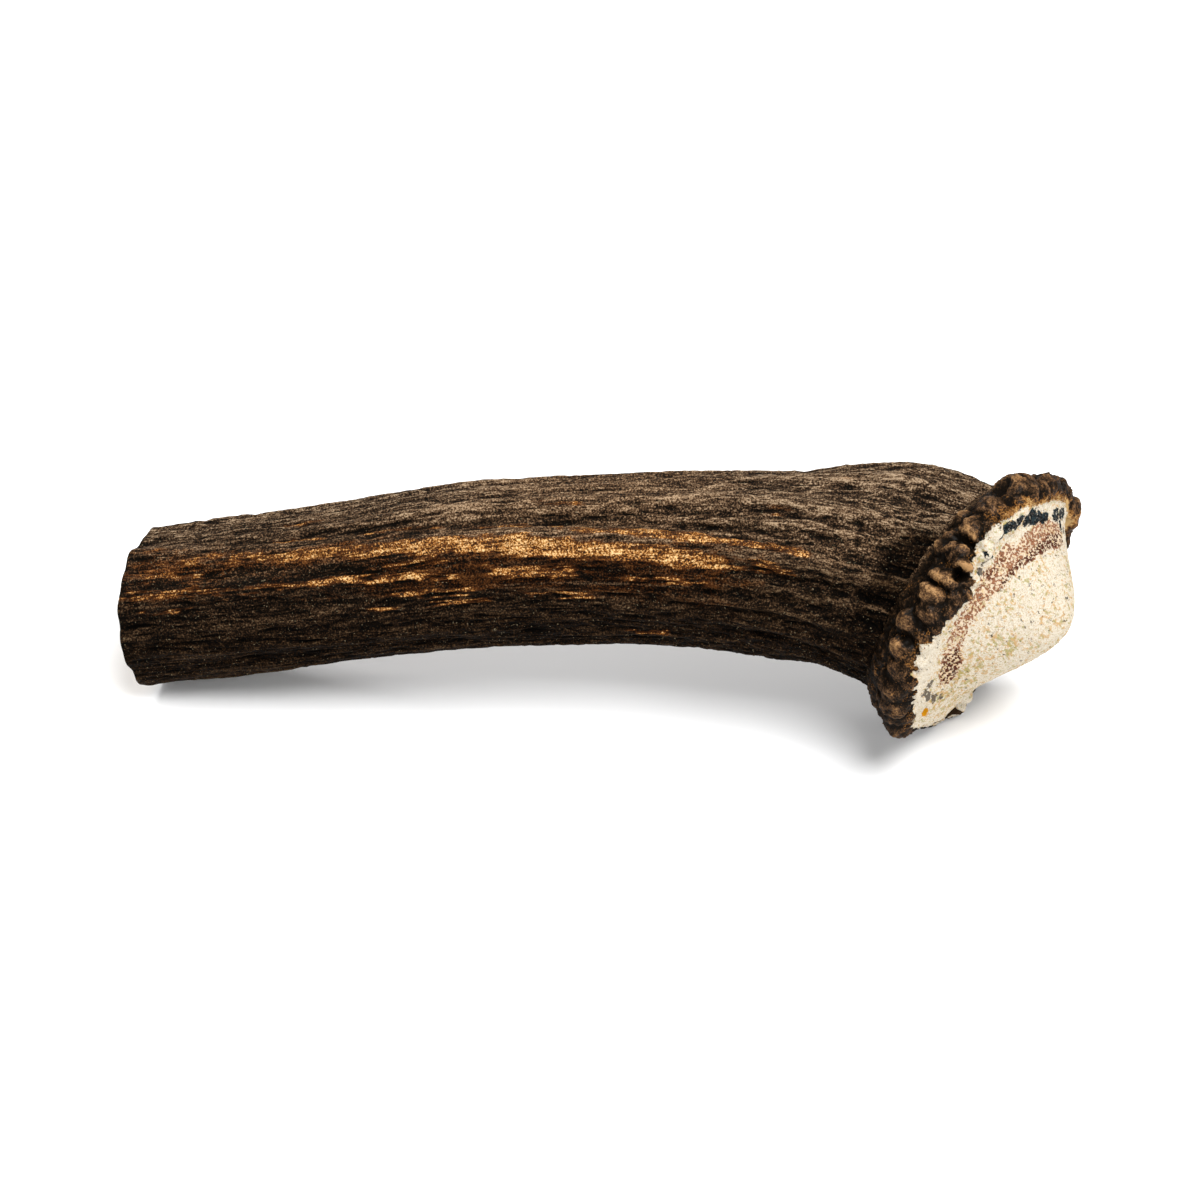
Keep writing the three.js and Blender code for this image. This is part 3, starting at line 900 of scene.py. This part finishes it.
class ReliefNodes(Nodes):
    """Nodes that add up the relief at each point."""

    def __init__(self, tree):
        super().__init__(tree)
        self.given = self.add("NodeGroupInput").outputs
        self.grain = self.stored("grain", "FLOAT_VECTOR")
        self.place = self.add("GeometryNodeInputPosition").outputs[0]
        self.burr = self.stored("burr")
        self.seal = self.step(self.stored("seal_mm"), *SEAL_FADE)

    def stored(self, name, data_type="FLOAT"):
        node = self.add("GeometryNodeInputNamedAttribute", {"Name": name}, data_type=data_type)
        return node.outputs["Attribute"]

    def along_bone(self, name):
        """Place on the grain, in widths and lengths of one pattern."""
        across = self.math("DIVIDE", 1.0, self.given[name + " width"])
        lengthwise = self.math("DIVIDE", 1.0, self.given[name + " length"])
        values = {0: lengthwise, 1: across, 2: across}
        return self.scaled(self.grain, self.add("ShaderNodeCombineXYZ", values).outputs[0])

    def stretched(self, vector, scale):
        values = {0: vector, 3: scale}
        return self.add("ShaderNodeVectorMath", values, operation="SCALE").outputs[0]

    def swinging(self, place, *kind):
        """Seeded noise that swings round 0."""
        noise = self.noise(place, 1.0, *kind, seed=self.given["Seed"])
        return self.math("SUBTRACT", noise, 0.5)

    def raised(self, pattern, name, gain):
        depth = self.math("MULTIPLY", self.given[name + " depth"], gain)
        return self.math("MULTIPLY", pattern, depth)

    def fibres(self):
        """Long fibres and the braided strands on them, mostly lost on the burr."""
        fibre = self.swinging(self.along_bone("Fibre"), 3.0, 0.55)
        strand = self.swinging(self.along_bone("Strand"), 3.0, 0.6, STRAND["distortion"])
        fibre = self.raised(fibre, "Fibre", SWING["fibre"])
        strand = self.raised(self.math("ABSOLUTE", strand), "Strand", SWING["strand"])
        kept = self.math("SUBTRACT", 1.0, self.math("MULTIPLY", self.burr, FIBRES_LOST))
        return self.math("MULTIPLY", self.math("ADD", fibre, strand), kept)

    def knots(self):
        """Round knots and crags, on the burr."""
        size = self.given["Knot size"]
        inputs = {"Vector": self.place, "Scale": self.math("DIVIDE", 1.0, size)}
        cells = self.add("ShaderNodeTexVoronoi", inputs, feature="SMOOTH_F1").outputs["Distance"]
        knots = self.math("MULTIPLY", self.math("SUBTRACT", 0.5, cells), self.given["Knot depth"])
        knots = self.math("MULTIPLY", knots, SWING["knot"])
        crag_place = self.stretched(self.place, self.math("DIVIDE", CRAG_SHARE, size))
        crags = self.raised(self.swinging(crag_place, 5.0, 0.68, 0.5), "Knot", SWING["crag"])
        return self.math("MULTIPLY", self.math("ADD", knots, crags), self.burr)

    def pores(self):
        """Fine grain of the seal."""
        place = self.stretched(self.place, self.math("DIVIDE", 1.0, self.given["Pore size"]))
        grain = self.raised(self.swinging(place, 2.0, 0.6), "Pore", SWING["pore"])
        return self.math("MULTIPLY", grain, self.seal)

    def rise(self):
        bark = self.math("MAXIMUM", self.seal, self.stored("sawn"))
        bark = self.math("SUBTRACT", 1.0, bark)
        rise = self.math("MULTIPLY", self.math("ADD", self.fibres(), self.knots()), bark)
        along = self.add("ShaderNodeSeparateXYZ", {0: self.grain}).outputs[0]
        start, full = SAW_FADE
        rise = self.math("MULTIPLY", rise, self.step(along, start * MM, full * MM))
        return self.math("ADD", rise, self.pores())

    def store(self, geometry, name, value):
        """The geometry with one more value at each point."""
        inputs = {"Geometry": geometry, "Name": name, "Value": value}
        kind = {"data_type": "FLOAT", "domain": "POINT"}
        return self.add("GeometryNodeStoreNamedAttribute", inputs, **kind).outputs[0]


def relief_tree():
    """Geometry nodes that work fibres, knots and pores into the skin."""
    tree = bpy.data.node_groups.new("Bone relief", "GeometryNodeTree")
    relief_sockets(tree.interface)
    n = ReliefNodes(tree)
    rise = n.rise()
    geometry = n.store(n.given["Geometry"], "whole", n.math("ADD", rise, n.stored("rise")))
    blur = {"Value": n.stored("whole"), "Iterations": CREST_BLUR}
    blurred = n.add("GeometryNodeBlurAttribute", blur, data_type="FLOAT").outputs[0]
    # crest is what the skin's colours use for painted shade in hollows and painted highlight on
    # crests.
    crest = n.math("SUBTRACT", n.stored("whole"), blurred)
    geometry = n.store(geometry, "crest", n.math("MULTIPLY", crest, 1.0 / MM))
    offset = n.stretched(n.add("GeometryNodeInputNormal").outputs[0], rise)
    moved = n.add("GeometryNodeSetPosition", {"Geometry": geometry, "Offset": offset})
    real = n.add("GeometryNodeRealizeInstances", {"Geometry": moved.outputs[0]})
    skin = {"Geometry": real.outputs[0], "Material": n.given["Skin"]}
    skinned = n.add("GeometryNodeSetMaterial", skin)
    is_sawn = n.add("FunctionNodeCompare", {0: n.stored("sawn"), 1: 0.5}).outputs[0]
    sawn = {
        "Geometry": skinned.outputs[0], "Selection": is_sawn, "Material": n.given["Sawn bone"],
    }
    finished = n.add("GeometryNodeSetMaterial", sawn)
    n.add("NodeGroupOutput", {"Geometry": finished.outputs[0]})
    return tree


# -------------------------------------------------------------------------------- materials


def pores_group():
    """Shader group: the open, spongy pores of bare bone."""
    tree = bpy.data.node_groups.new("Bone pores", "ShaderNodeTree")
    face = tree.interface
    face.new_socket("Vector", in_out="INPUT", socket_type="NodeSocketVector")
    for name, value in (("Pore size", SEAL_PORE * MM), ("Openness", SAWN_OPENNESS)):
        socket = face.new_socket(name, in_out="INPUT", socket_type="NodeSocketFloat")
        socket.default_value = value
    for name in ("Pores", "Height"):
        face.new_socket(name, in_out="OUTPUT", socket_type="NodeSocketFloat")
    n = Nodes(tree)
    given = n.add("NodeGroupInput").outputs
    scale = n.math("DIVIDE", 1.0, given["Pore size"])
    inputs = {"Vector": given["Vector"], "Scale": scale, "Detail": 2.0, "Roughness": 0.6}
    sponge = n.add("ShaderNodeTexNoise", inputs).outputs[0]
    widened = n.math("MULTIPLY", given["Openness"], PORE_EDGE["opening"])
    edge = n.math("SUBTRACT", PORE_EDGE["closed"], widened)
    pores = n.step(sponge, edge, n.math("ADD", edge, PORE_EDGE["wall"]))
    height = n.math("SUBTRACT", n.math("MULTIPLY", sponge, 0.6), pores)
    n.add("NodeGroupOutput", {"Pores": pores, "Height": height})
    return tree


def new_material(name):
    material = bpy.data.materials.new(name)
    material.use_nodes = True
    material.node_tree.nodes.clear()
    return material, Nodes(material.node_tree)


def finish_material(n, colour, roughness, height, distance, specular, coat=0.0):
    bump = n.add("ShaderNodeBump", {"Strength": 1.0, "Distance": distance, "Height": height})
    inputs = {
        "Base Color": colour, "Roughness": roughness, "Normal": bump.outputs[0],
        "Specular IOR Level": specular, "Coat Weight": coat, "Coat Roughness": 0.3,
    }
    shader = n.add("ShaderNodeBsdfPrincipled", inputs)
    n.add("ShaderNodeOutputMaterial", {"Surface": shader.outputs[0]})


class SkinPaint:
    """The masks, noises and sums that the finishes of the skin share."""

    def __init__(self, n, colours):
        self.n = n
        self.colours = colours
        self.grain = n.stored("grain", "Vector")
        self.place = n.add("ShaderNodeTexCoord").outputs["Object"]
        self.crest = n.stored("crest")
        self.braids = self.braid_crests()
        self.bands, self.strands, self.mottle = map(self.along_bone, (BANDS, STRANDS, MOTTLE))
        self.clumps = n.noise(self.place, 2.6 * MM, 5.0, 0.7)
        self.speckle = n.noise(self.place, 0.36 * MM, 2.0, 0.7)

    def along_bone(self, row):
        share, size, *kind = row
        return self.n.noise(self.n.scaled(self.grain, (share, 1.0, 1.0)), size * MM, *kind)

    def braid_crests(self):
        """0 on the crests of the braided strands that the relief raises, more between them."""
        lengthwise, across = (1.0 / (STRAND[size] * MM) for size in ("length", "width"))
        place = self.n.scaled(self.grain, (lengthwise, across, across))
        field = self.n.noise(place, 1.0, 3.0, 0.6, STRAND["distortion"], seed=STRAND["seed"])
        return self.n.math("ABSOLUTE", self.n.math("SUBTRACT", field, 0.5))

    def stored(self, name):
        return self.n.stored(name)

    def times(self, value, gain):
        return self.n.math("MULTIPLY", value, gain)

    def swing(self, value, gain):
        """How far a noise is from its middle, times a gain."""
        return self.times(self.n.math("SUBTRACT", value, 0.5), gain)

    def total(self, first, *others):
        for other in others:
            first = self.n.math("ADD", first, other)
        return first

    def where(self, name, noise, gain, low, high):
        """1 inside a stored mask whose edge a noise makes ragged."""
        return self.n.step(self.total(self.stored(name), self.swing(noise, gain)), low, high)

    def ramp(self, tone, *stops):
        return self.n.ramp(tone, [(place, self.colours[name]) for place, name in stops])


def bark_colour(f):
    """Weathered bark of the beam: near black in the grooves and greyer on the crests, partly
    painted shade and highlight.
    """
    n, colours = f.n, f.colours
    # dark is painted shade of the underside and of the burr's shadow: it lowers the tone and
    # multiplies by the shade colour.
    dark = f.stored("dark")
    # Tone is raised on the crests of the strands, crests and ridges of the relief and lowered
    # between them: painted highlight and painted shade.
    line = n.step(f.braids, 0.055, 0.0)
    gap = n.step(f.braids, 0.11, 0.22)
    # Thin pale lines on the strands' crests where the bark is greyed: painted highlight.
    fine_line = n.math("MULTIPLY", n.step(f.braids, 0.03, 0.0), f.stored("greyed"))
    tone = f.total(
        0.445, f.swing(f.bands, 0.5), f.swing(f.strands, 0.9), f.swing(f.mottle, 0.5),
        f.swing(f.speckle, 2.3), f.times(f.crest, 0.4), f.times(f.braids, -0.6),
        f.times(line, 0.15), f.times(fine_line, 0.4), f.times(gap, -0.16), f.times(dark, -0.13),
        f.times(f.stored("greyed"), -0.03), f.times(f.stored("dulled"), -0.17),
        f.times(f.stored("ridge"), 0.065),
    )
    bark = f.ramp(
        tone, (0.12, "groove"), (0.34, "bark"), (0.54, "flank"), (0.76, "crest"), (0.98, "sheen"),
    )
    ember = f.ramp(tone, (0.16, "groove"), (0.46, "ember"), (0.86, "amber"))
    glow = f.total(f.stored("warm"), f.swing(f.mottle, 2.0), f.swing(f.bands, 1.5))
    bark = n.mix(f.times(n.step(glow, 0.3, 1.0), 0.8), bark, ember)
    # Greyed top: partly weathering, partly painted sheen.
    bark = n.mix(f.stored("greyed"), bark, colours["bloom"], "MULTIPLY")
    bark = n.mix(dark, bark, colours["shade"], "MULTIPLY")
    # Pale specks all over: partly dust, partly painted glints.
    dusting = n.noise(n.scaled(f.place, (1.0, -1.0, 1.0)), 0.45 * MM, 1.0, 0.5)
    bark = n.mix(f.times(n.step(dusting, 0.69, 0.77), 0.5), bark, colours["dust"])
    lines = f.total(f.stored("pale"), f.swing(f.strands, 1.5), f.swing(f.speckle, 1.5))
    return n.mix(f.times(n.step(lines, 0.45, 0.9), 0.4), bark, colours["crest"])


def worn_colour(f, bark):
    """Golden wear on the proud fibres, flecked with dark bark and cracked across."""
    n = f.n
    gold = f.stored("gold")
    there = n.step(gold, 0.02, 0.2)
    worn = f.total(
        gold, f.swing(f.mottle, 2.0), f.swing(f.strands, 1.6), f.swing(f.bands, 0.8),
        f.times(f.crest, 0.6),
    )
    tone = f.total(
        f.times(gold, 0.44), f.swing(f.speckle, 2.6), f.swing(f.mottle, 1.8),
        f.swing(f.strands, 1.2),
    )
    golden = f.ramp(
        tone, (0.12, "bark"), (0.28, "ember"), (0.44, "amber"), (0.62, "gold"),
        (0.90, "pale_gold"),
    )
    cracks = n.noise(n.scaled(f.grain, (1.0, 0.4, 0.4)), 1.7 * MM, 4.0, 0.65)
    cracks = n.math("ABSOLUTE", n.math("SUBTRACT", cracks, 0.5))
    whole = n.step(cracks, 0.004, 0.018)
    worn = n.math("MULTIPLY", worn, there)
    bark = n.mix(f.times(n.step(worn, 0.26, 0.56), 0.55), bark, f.colours["ember"])
    return n.mix(n.math("MULTIPLY", n.step(worn, 0.46, 0.64), whole), bark, golden)


def burr_colour(f, depth_in):
    """Knobs of the burr: black crevices (painted shade), brown flanks, tops partly rubbed and
    partly painted highlight, and amber where bone shines through.
    """
    n = f.n
    # Tone follows the knobs' height and crests: painted shade in the crevices and painted
    # highlight on the tops.
    tone = f.total(
        0.06, f.times(f.stored("rise"), 0.09 / MM), f.swing(f.clumps, 1.5),
        f.swing(f.mottle, 0.8), f.swing(f.speckle, 1.5), f.times(f.crest, 1.0),
        f.times(f.stored("rubbed"), 0.14),
    )
    knobs = f.ramp(
        tone, (0.08, "crevice"), (0.30, "knob"), (0.54, "rubbed"), (0.80, "tan"),
        (1.04, "pale_tan"),
    )
    near = n.math("MULTIPLY", n.step(depth_in, -3.2, 0.4), f.stored("rim_glow"))
    near = f.total(f.times(near, 1.2), f.swing(f.clumps, 3.2), f.swing(f.speckle, 2.4))
    knobs = n.mix(f.times(n.step(near, 0.4, 1.0), 0.75), knobs, f.colours["resin"])
    return n.mix(f.times(n.step(near, 0.95, 1.4), 0.75), knobs, f.colours["ochre"])


def hump_place(f):
    """Place turned to the seal's hump and drawn out across it."""
    parts = []
    for side in (HUMP_SIDE, np.cross(BURR_AXIS, HUMP_SIDE), BURR_AXIS):
        inputs = {0: f.place, 1: tuple(side)}
        dot = f.n.add("ShaderNodeVectorMath", inputs, operation="DOT_PRODUCT")
        parts.append(dot.outputs["Value"])
    parts[1] = f.times(parts[1], 0.5)
    return f.n.add("ShaderNodeCombineXYZ", dict(enumerate(parts))).outputs[0]


def bare_colour(f, grit, tan, olive):
    """Cream bone with tan and olive flecks, more of them where it is dirty."""
    n, colours = f.n, f.colours
    patches = n.noise(f.place, 4.5 * MM, 2.0, 0.5)
    dirt = f.total(f.times(f.stored("grime"), 0.07), f.swing(patches, 0.30))
    plain = n.math("SUBTRACT", 1.0, f.stored("strip"))
    seal = n.mix(n.step(grit, 0.32, 0.62), colours["seal_low"], colours["seal"])
    for noise, low, high, share, name in (
        (tan, 0.53, 0.65, 0.82, "fleck"), (olive, 0.57, 0.67, 0.72, "olive"),
    ):
        flecks = n.math("MULTIPLY", n.step(f.total(noise, dirt), low, high), plain)
        seal = n.mix(f.times(flecks, share), seal, colours[name])
    return seal


def porous(f, seal, flat, grit, pores):
    """The seal with its band of brown pores, and the height of those pores."""
    n, colours = f.n, f.colours
    band = f.stored("pore_band")
    rim = n.math("MULTIPLY", f.stored("pore_rim"), band)
    blush = n.step(f.total(band, f.swing(f.clumps, 1.6)), 0.3, 0.9)
    seal = n.mix(f.times(blush, 0.5), seal, colours["blush"])
    openness = n.step(f.total(band, f.times(rim, 0.3), f.swing(f.clumps, 2.0)), 0.05, 0.9)
    inputs = {"Vector": flat, "Pore size": SEAL_PORE * MM, "Openness": openness}
    group = n.add("ShaderNodeGroup", inputs, node_tree=pores)
    deep = f.total(rim, f.times(band, 0.25), f.swing(f.clumps, 2.6), f.swing(grit, 1.8))
    pore = n.mix(n.step(deep, 0.3, 0.95), colours["pore_rim"], colours["pore"])
    return n.mix(group.outputs["Pores"], seal, pore), group.outputs["Height"]


def stained(f, seal, flat, grit, olive):
    """The seal with its blue-black and grey stains, bites and holes."""
    n, colours = f.n, f.colours
    ragged = n.noise(flat, 0.9 * MM, 4.0, 0.75)
    stain = n.mix(n.step(grit, 0.5, 0.72), colours["blue"], colours["slate"])
    stain = n.mix(f.times(n.step(olive, 0.5, 0.62), 0.7), stain, colours["teal"])
    seal = n.mix(f.where("blue", ragged, 3.6, 0.36, 0.72), seal, stain)
    grey = f.where("grey", ragged, 4.0, 0.4, 0.7)
    seal = n.mix(f.times(grey, 0.9), seal, colours["grey"])
    seal = n.mix(f.where("bite", f.clumps, 0.8, 0.3, 0.7), seal, colours["knob"])
    seal = n.mix(f.where("hole", f.clumps, 1.0, 0.3, 0.75), seal, colours["knob"])
    return n.mix(n.step(f.stored("gold_hole"), 0.3, 0.6), seal, colours["honey"])


def seal_colour(f, pores):
    """Colour and height of the seal."""
    flat = hump_place(f)
    grit = f.n.noise(f.place, 0.3 * MM, 2.0, 0.6)
    tan = f.n.noise(flat, 0.7 * MM, 3.0, 0.65)
    olive = f.n.noise(f.n.scaled(flat, (-1.0, 1.0, 1.0)), 0.8 * MM, 2.0, 0.6)
    seal = bare_colour(f, grit, tan, olive)
    seal, pore_height = porous(f, seal, flat, grit, pores)
    seal = stained(f, seal, flat, grit, olive)
    return seal, f.total(f.times(pore_height, 0.5), tan)


def skin_material(colours, pores):
    material, n = new_material("antler skin")
    f = SkinPaint(n, colours)
    wander = n.noise(f.place, 1.4 * MM, 3.0, 0.6)
    depth_in = f.total(f.stored("seal_mm"), f.swing(wander, 2.4))
    is_seal = n.step(depth_in, -0.12, 0.12)
    bark = n.mix(f.stored("burr"), worn_colour(f, bark_colour(f)), burr_colour(f, depth_in))
    seal, seal_height = seal_colour(f, pores)
    colour = n.mix(is_seal, bark, seal)

    roughness = f.total(0.66, f.swing(f.speckle, 1.0), f.swing(f.mottle, 0.5))
    roughness = n.math("MAXIMUM", roughness, f.times(is_seal, 0.9))
    is_burr = n.math("SUBTRACT", 1.0, is_seal)
    coat = f.times(n.math("MULTIPLY", f.stored("burr"), is_burr), 0.05)
    bark_height = f.total(
        f.times(f.strands, 0.7), f.times(f.braids, -0.8), f.times(f.mottle, 0.7),
        f.times(f.speckle, 0.45),
    )
    height = n.add("ShaderNodeMix", {0: is_seal, 2: bark_height, 3: seal_height}).outputs[0]
    finish_material(n, colour, roughness, height, 0.5 * MM, 0.02, coat)
    return material


def sawn_material(colours, pores):
    material, n = new_material("sawn bone")
    place = n.add("ShaderNodeTexCoord").outputs["Object"]
    inputs = {"Vector": place, "Pore size": SAWN_PORE * MM, "Openness": SAWN_OPENNESS}
    group = n.add("ShaderNodeGroup", inputs, node_tree=pores)
    saw_marks = n.noise(n.scaled(place, (1.0, 1.0, 6.0)), 3.0 * MM, 4.0, 0.6)
    colour = n.mix(saw_marks, colours["seal"], colours["fleck"])
    spongy = n.math("MULTIPLY", group.outputs["Pores"], n.stored("core"))
    colour = n.mix(spongy, colour, colours["flank"])
    height = n.math("SUBTRACT", n.math("MULTIPLY", saw_marks, 0.3), spongy)
    finish_material(n, colour, 0.7, height, 0.3 * MM, 0.1)
    return material


# ------------------------------------------------------------------------------- properties


def colour_property(name, description, default):
    return bpy.props.FloatVectorProperty(
        name=name, description=description, size=4, subtype="COLOR", min=0.0, max=1.0,
        default=default,
    )


class AntlerColours(bpy.types.PropertyGroup):
    """Colours of the antler's surfaces."""

    groove: colour_property("Groove", "Deep grooves of the beam", srgb(12, 9, 6))
    bark: colour_property("Bark", "Flanks of the beam's ridges", srgb(42, 30, 20))
    flank: colour_property("Flank", "Upper flanks of the ridges", srgb(78, 58, 41))
    crest: colour_property("Crest", "Weathered ridge crests", srgb(120, 95, 71))
    sheen: colour_property("Sheen", "Palest weathered fibres", srgb(168, 142, 112))
    # Greys the top's bark: partly weathering, partly painted sheen.
    bloom: colour_property("Bloom", "Greys and dims the oldest bark", srgb(208, 218, 230))
    # Painted shade of the beam's underside and of the burr's shadow on it.
    shade: colour_property("Dark side", "Darkens the underside of the beam", srgb(118, 112, 104))
    ember: colour_property("Ember", "Reddish ground round the golden wear", srgb(80, 43, 17))
    amber: colour_property("Amber", "Edges of the golden wear", srgb(140, 87, 38))
    gold: colour_property("Gold", "Golden wear", srgb(186, 137, 78))
    pale_gold: colour_property("Pale gold", "Most worn fibres", srgb(226, 190, 136))
    crevice: colour_property("Crevice", "Between the burr's knobs", srgb(13, 8, 4))
    knob: colour_property("Knob", "Flanks of the burr's knobs", srgb(43, 30, 18))
    rubbed: colour_property("Rubbed", "Upper flanks of the knobs", srgb(78, 56, 38))
    tan: colour_property("Tan", "Rubbed tops of the knobs", srgb(116, 86, 56))
    pale_tan: colour_property("Pale tan", "Most rubbed tops", srgb(156, 120, 80))
    resin: colour_property("Resin", "Amber glow of the burr beside the seal", srgb(138, 92, 44))
    ochre: colour_property("Ochre", "Palest part of that glow", srgb(186, 156, 104))
    # Pale specks: partly dust, partly painted glints.
    dust: colour_property("Dust", "Pale specks all over", srgb(138, 126, 100))
    seal: colour_property("Seal", "Bare bone of the seal", srgb(196, 188, 172))
    seal_low: colour_property("Seal grit", "Small hollows in the bare bone", srgb(175, 160, 138))
    fleck: colour_property("Fleck", "Tan flecks of the seal", srgb(172, 136, 84))
    olive: colour_property("Olive", "Olive flecks of the seal", srgb(140, 132, 76))
    blush: colour_property("Blush", "Ground of the pore band", srgb(206, 176, 142))
    pore: colour_property("Pore", "Deepest pores of the seal", srgb(72, 42, 32))
    pore_rim: colour_property("Pore edge", "Shallow pores of the seal", srgb(134, 92, 68))
    blue: colour_property("Blue-black", "Mineral stain at the seal's edge", srgb(15, 17, 18))
    slate: colour_property("Slate", "Paler grains of the mineral stain", srgb(74, 77, 78))
    teal: colour_property("Teal", "Bluest grains of the mineral stain", srgb(34, 47, 51))
    grey: colour_property("Grey", "Grey dirt on the seal", srgb(74, 66, 58))
    honey: colour_property("Honey", "Resinous fill of a hole", srgb(176, 120, 16))

    def as_dict(self):
        return {name: tuple(getattr(self, name)) for name in self.__annotations__}


def depth_property(name, description):
    return bpy.props.FloatProperty(
        name=name, description=description, subtype="DISTANCE", default=RELIEF[name] * MM,
    )


class AntlerRelief(bpy.types.PropertyGroup):
    """Fine relief worked into the skin."""

    fibre_depth: depth_property("Fibre depth", "Depth of the broad fibres")
    strand_depth: depth_property("Strand depth", "Depth of the fine strands")
    knot_depth: depth_property("Knot depth", "Height of small knots on the burr")
    pore_depth: depth_property("Pore depth", "Depth of the seal's grain")


class AntlerStage(bpy.types.PropertyGroup):
    """Camera, lights and floor."""

    elevation: bpy.props.FloatProperty(
        name="Camera elevation", description="Angle of the camera above the floor",
        subtype="ANGLE", default=math.radians(40.0),
    )
    distance: bpy.props.FloatProperty(
        name="Camera distance", description="From the camera to the point it looks at",
        subtype="DISTANCE", default=0.5667,
    )
    lens: bpy.props.FloatProperty(
        name="Lens", description="Focal length in millimetres", default=85.0,
    )
    target: bpy.props.FloatVectorProperty(
        name="Camera target", description="Point that the camera looks at", subtype="XYZ",
        unit="LENGTH", default=(0.0001, 0.0055, 0.0248),
    )
    floor_colour: colour_property("Floor", "Colour of the floor", srgb(250, 250, 250))
    world_strength: bpy.props.FloatProperty(
        name="Room light", description="Strength of the even light all round", default=0.55,
    )


# -------------------------------------------------------------------------------- operators


class ANTLER_OT_antler(bpy.types.Operator):
    """Build the antler in place of its plain solid"""

    bl_idname = "antler.antler"
    bl_label = "Antler"

    def execute(self, context):
        scene = context.scene
        colours = scene.antler_colours.as_dict()
        relief_sizes = scene.antler_relief
        pores = pores_group()
        mesh = skin_mesh()
        raw = bpy.data.objects.new("antler raw", mesh)
        scene.collection.objects.link(raw)
        modifier = raw.modifiers.new("Bone relief", "NODES")
        modifier.node_group = relief_tree()
        given = {
            "Fibre depth": relief_sizes.fibre_depth,
            "Strand depth": relief_sizes.strand_depth,
            "Knot depth": relief_sizes.knot_depth,
            "Pore depth": relief_sizes.pore_depth,
            "Skin": skin_material(colours, pores),
            "Sawn bone": sawn_material(colours, pores),
        }
        for item in modifier.node_group.interface.items_tree:
            if item.in_out == "INPUT" and item.name in given:
                modifier[item.identifier] = given[item.name]
        evaluated = raw.evaluated_get(context.evaluated_depsgraph_get())
        finished = bpy.data.meshes.new_from_object(evaluated)
        raw.modifiers.remove(modifier)
        bpy.data.objects.remove(raw)
        if len(finished.vertices) != len(mesh.vertices):
            raise RuntimeError("the relief changed the number of points")
        finished.name = "antler dressed"
        piece = bpy.data.objects.new("antler_skin", finished)
        scene.collection.objects.link(piece)
        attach(piece, "root")
        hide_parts(NODE)
        return {"FINISHED"}


def add_camera(scene, stage):
    camera = bpy.data.cameras.new("camera")
    camera.lens = stage.lens
    camera.sensor_width = SENSOR_WIDTH
    holder = bpy.data.objects.new("camera", camera)
    away = Vector((0.0, -math.cos(stage.elevation), math.sin(stage.elevation)))
    holder.location = Vector(stage.target) + away * stage.distance
    holder.rotation_euler = (math.pi / 2 - stage.elevation, 0.0, 0.0)
    scene.collection.objects.link(holder)
    scene.camera = holder


def add_floor(context, colour):
    bpy.ops.mesh.primitive_plane_add(size=FLOOR_SIZE, location=(0.0, 0.0, 0.0))
    floor = context.object
    floor.name = "floor"
    material, n = new_material("floor")
    shader = n.add("ShaderNodeBsdfPrincipled", {"Base Color": colour, "Roughness": 0.9})
    n.add("ShaderNodeOutputMaterial", {"Surface": shader.outputs[0]})
    floor.data.materials.append(material)


def add_room_light(scene, strength):
    world = bpy.data.worlds.new("studio")
    world.use_nodes = True
    backdrop = world.node_tree.nodes["Background"]
    backdrop.inputs["Color"].default_value = (1.0, 1.0, 1.0, 1.0)
    backdrop.inputs["Strength"].default_value = strength
    scene.world = world


def add_light(scene, name, place, size, power):
    light = bpy.data.lights.new(name, "AREA")
    light.shape = "DISK"
    light.size = size
    light.energy = power
    lamp = bpy.data.objects.new(name, light)
    lamp.location = place
    towards = Vector(LIGHT_AIM) - Vector(place)
    lamp.rotation_euler = towards.to_track_quat("-Z", "Y").to_euler()
    scene.collection.objects.link(lamp)


class ANTLER_OT_stage(bpy.types.Operator):
    """Set up the floor, the lights and the camera"""

    bl_idname = "antler.stage"
    bl_label = "Stage"

    def execute(self, context):
        scene = context.scene
        stage = scene.antler_stage
        add_camera(scene, stage)
        add_floor(context, tuple(stage.floor_colour))
        add_room_light(scene, stage.world_strength)
        scene.view_settings.view_transform = "Standard"
        for light in LIGHTS:
            add_light(scene, *light)
        return {"FINISHED"}


class ANTLER_PT_panel(bpy.types.Panel):
    """Lists the antler's operators and settings"""

    bl_idname = "ANTLER_PT_panel"
    bl_label = "Antler"
    bl_space_type = "VIEW_3D"
    bl_region_type = "UI"
    bl_category = "Antler"

    def draw(self, context):
        layout = self.layout
        scene = context.scene
        layout.operator(ANTLER_OT_antler.bl_idname)
        layout.operator(ANTLER_OT_stage.bl_idname)
        for group in (scene.antler_relief, scene.antler_colours, scene.antler_stage):
            box = layout.box()
            for name in group.__annotations__:
                box.prop(group, name)


CLASSES = (
    AntlerColours, AntlerRelief, AntlerStage, ANTLER_OT_antler, ANTLER_OT_stage, ANTLER_PT_panel,
)


def register():
    for cls in CLASSES:
        bpy.utils.register_class(cls)
    bpy.types.Scene.antler_colours = bpy.props.PointerProperty(type=AntlerColours)
    bpy.types.Scene.antler_relief = bpy.props.PointerProperty(type=AntlerRelief)
    bpy.types.Scene.antler_stage = bpy.props.PointerProperty(type=AntlerStage)


def unregister():
    del bpy.types.Scene.antler_stage
    del bpy.types.Scene.antler_relief
    del bpy.types.Scene.antler_colours
    for cls in reversed(CLASSES):
        bpy.utils.unregister_class(cls)


def main():
    register()
    bpy.ops.antler.antler()
    bpy.ops.antler.stage()


if __name__ == "__main__":
    main()
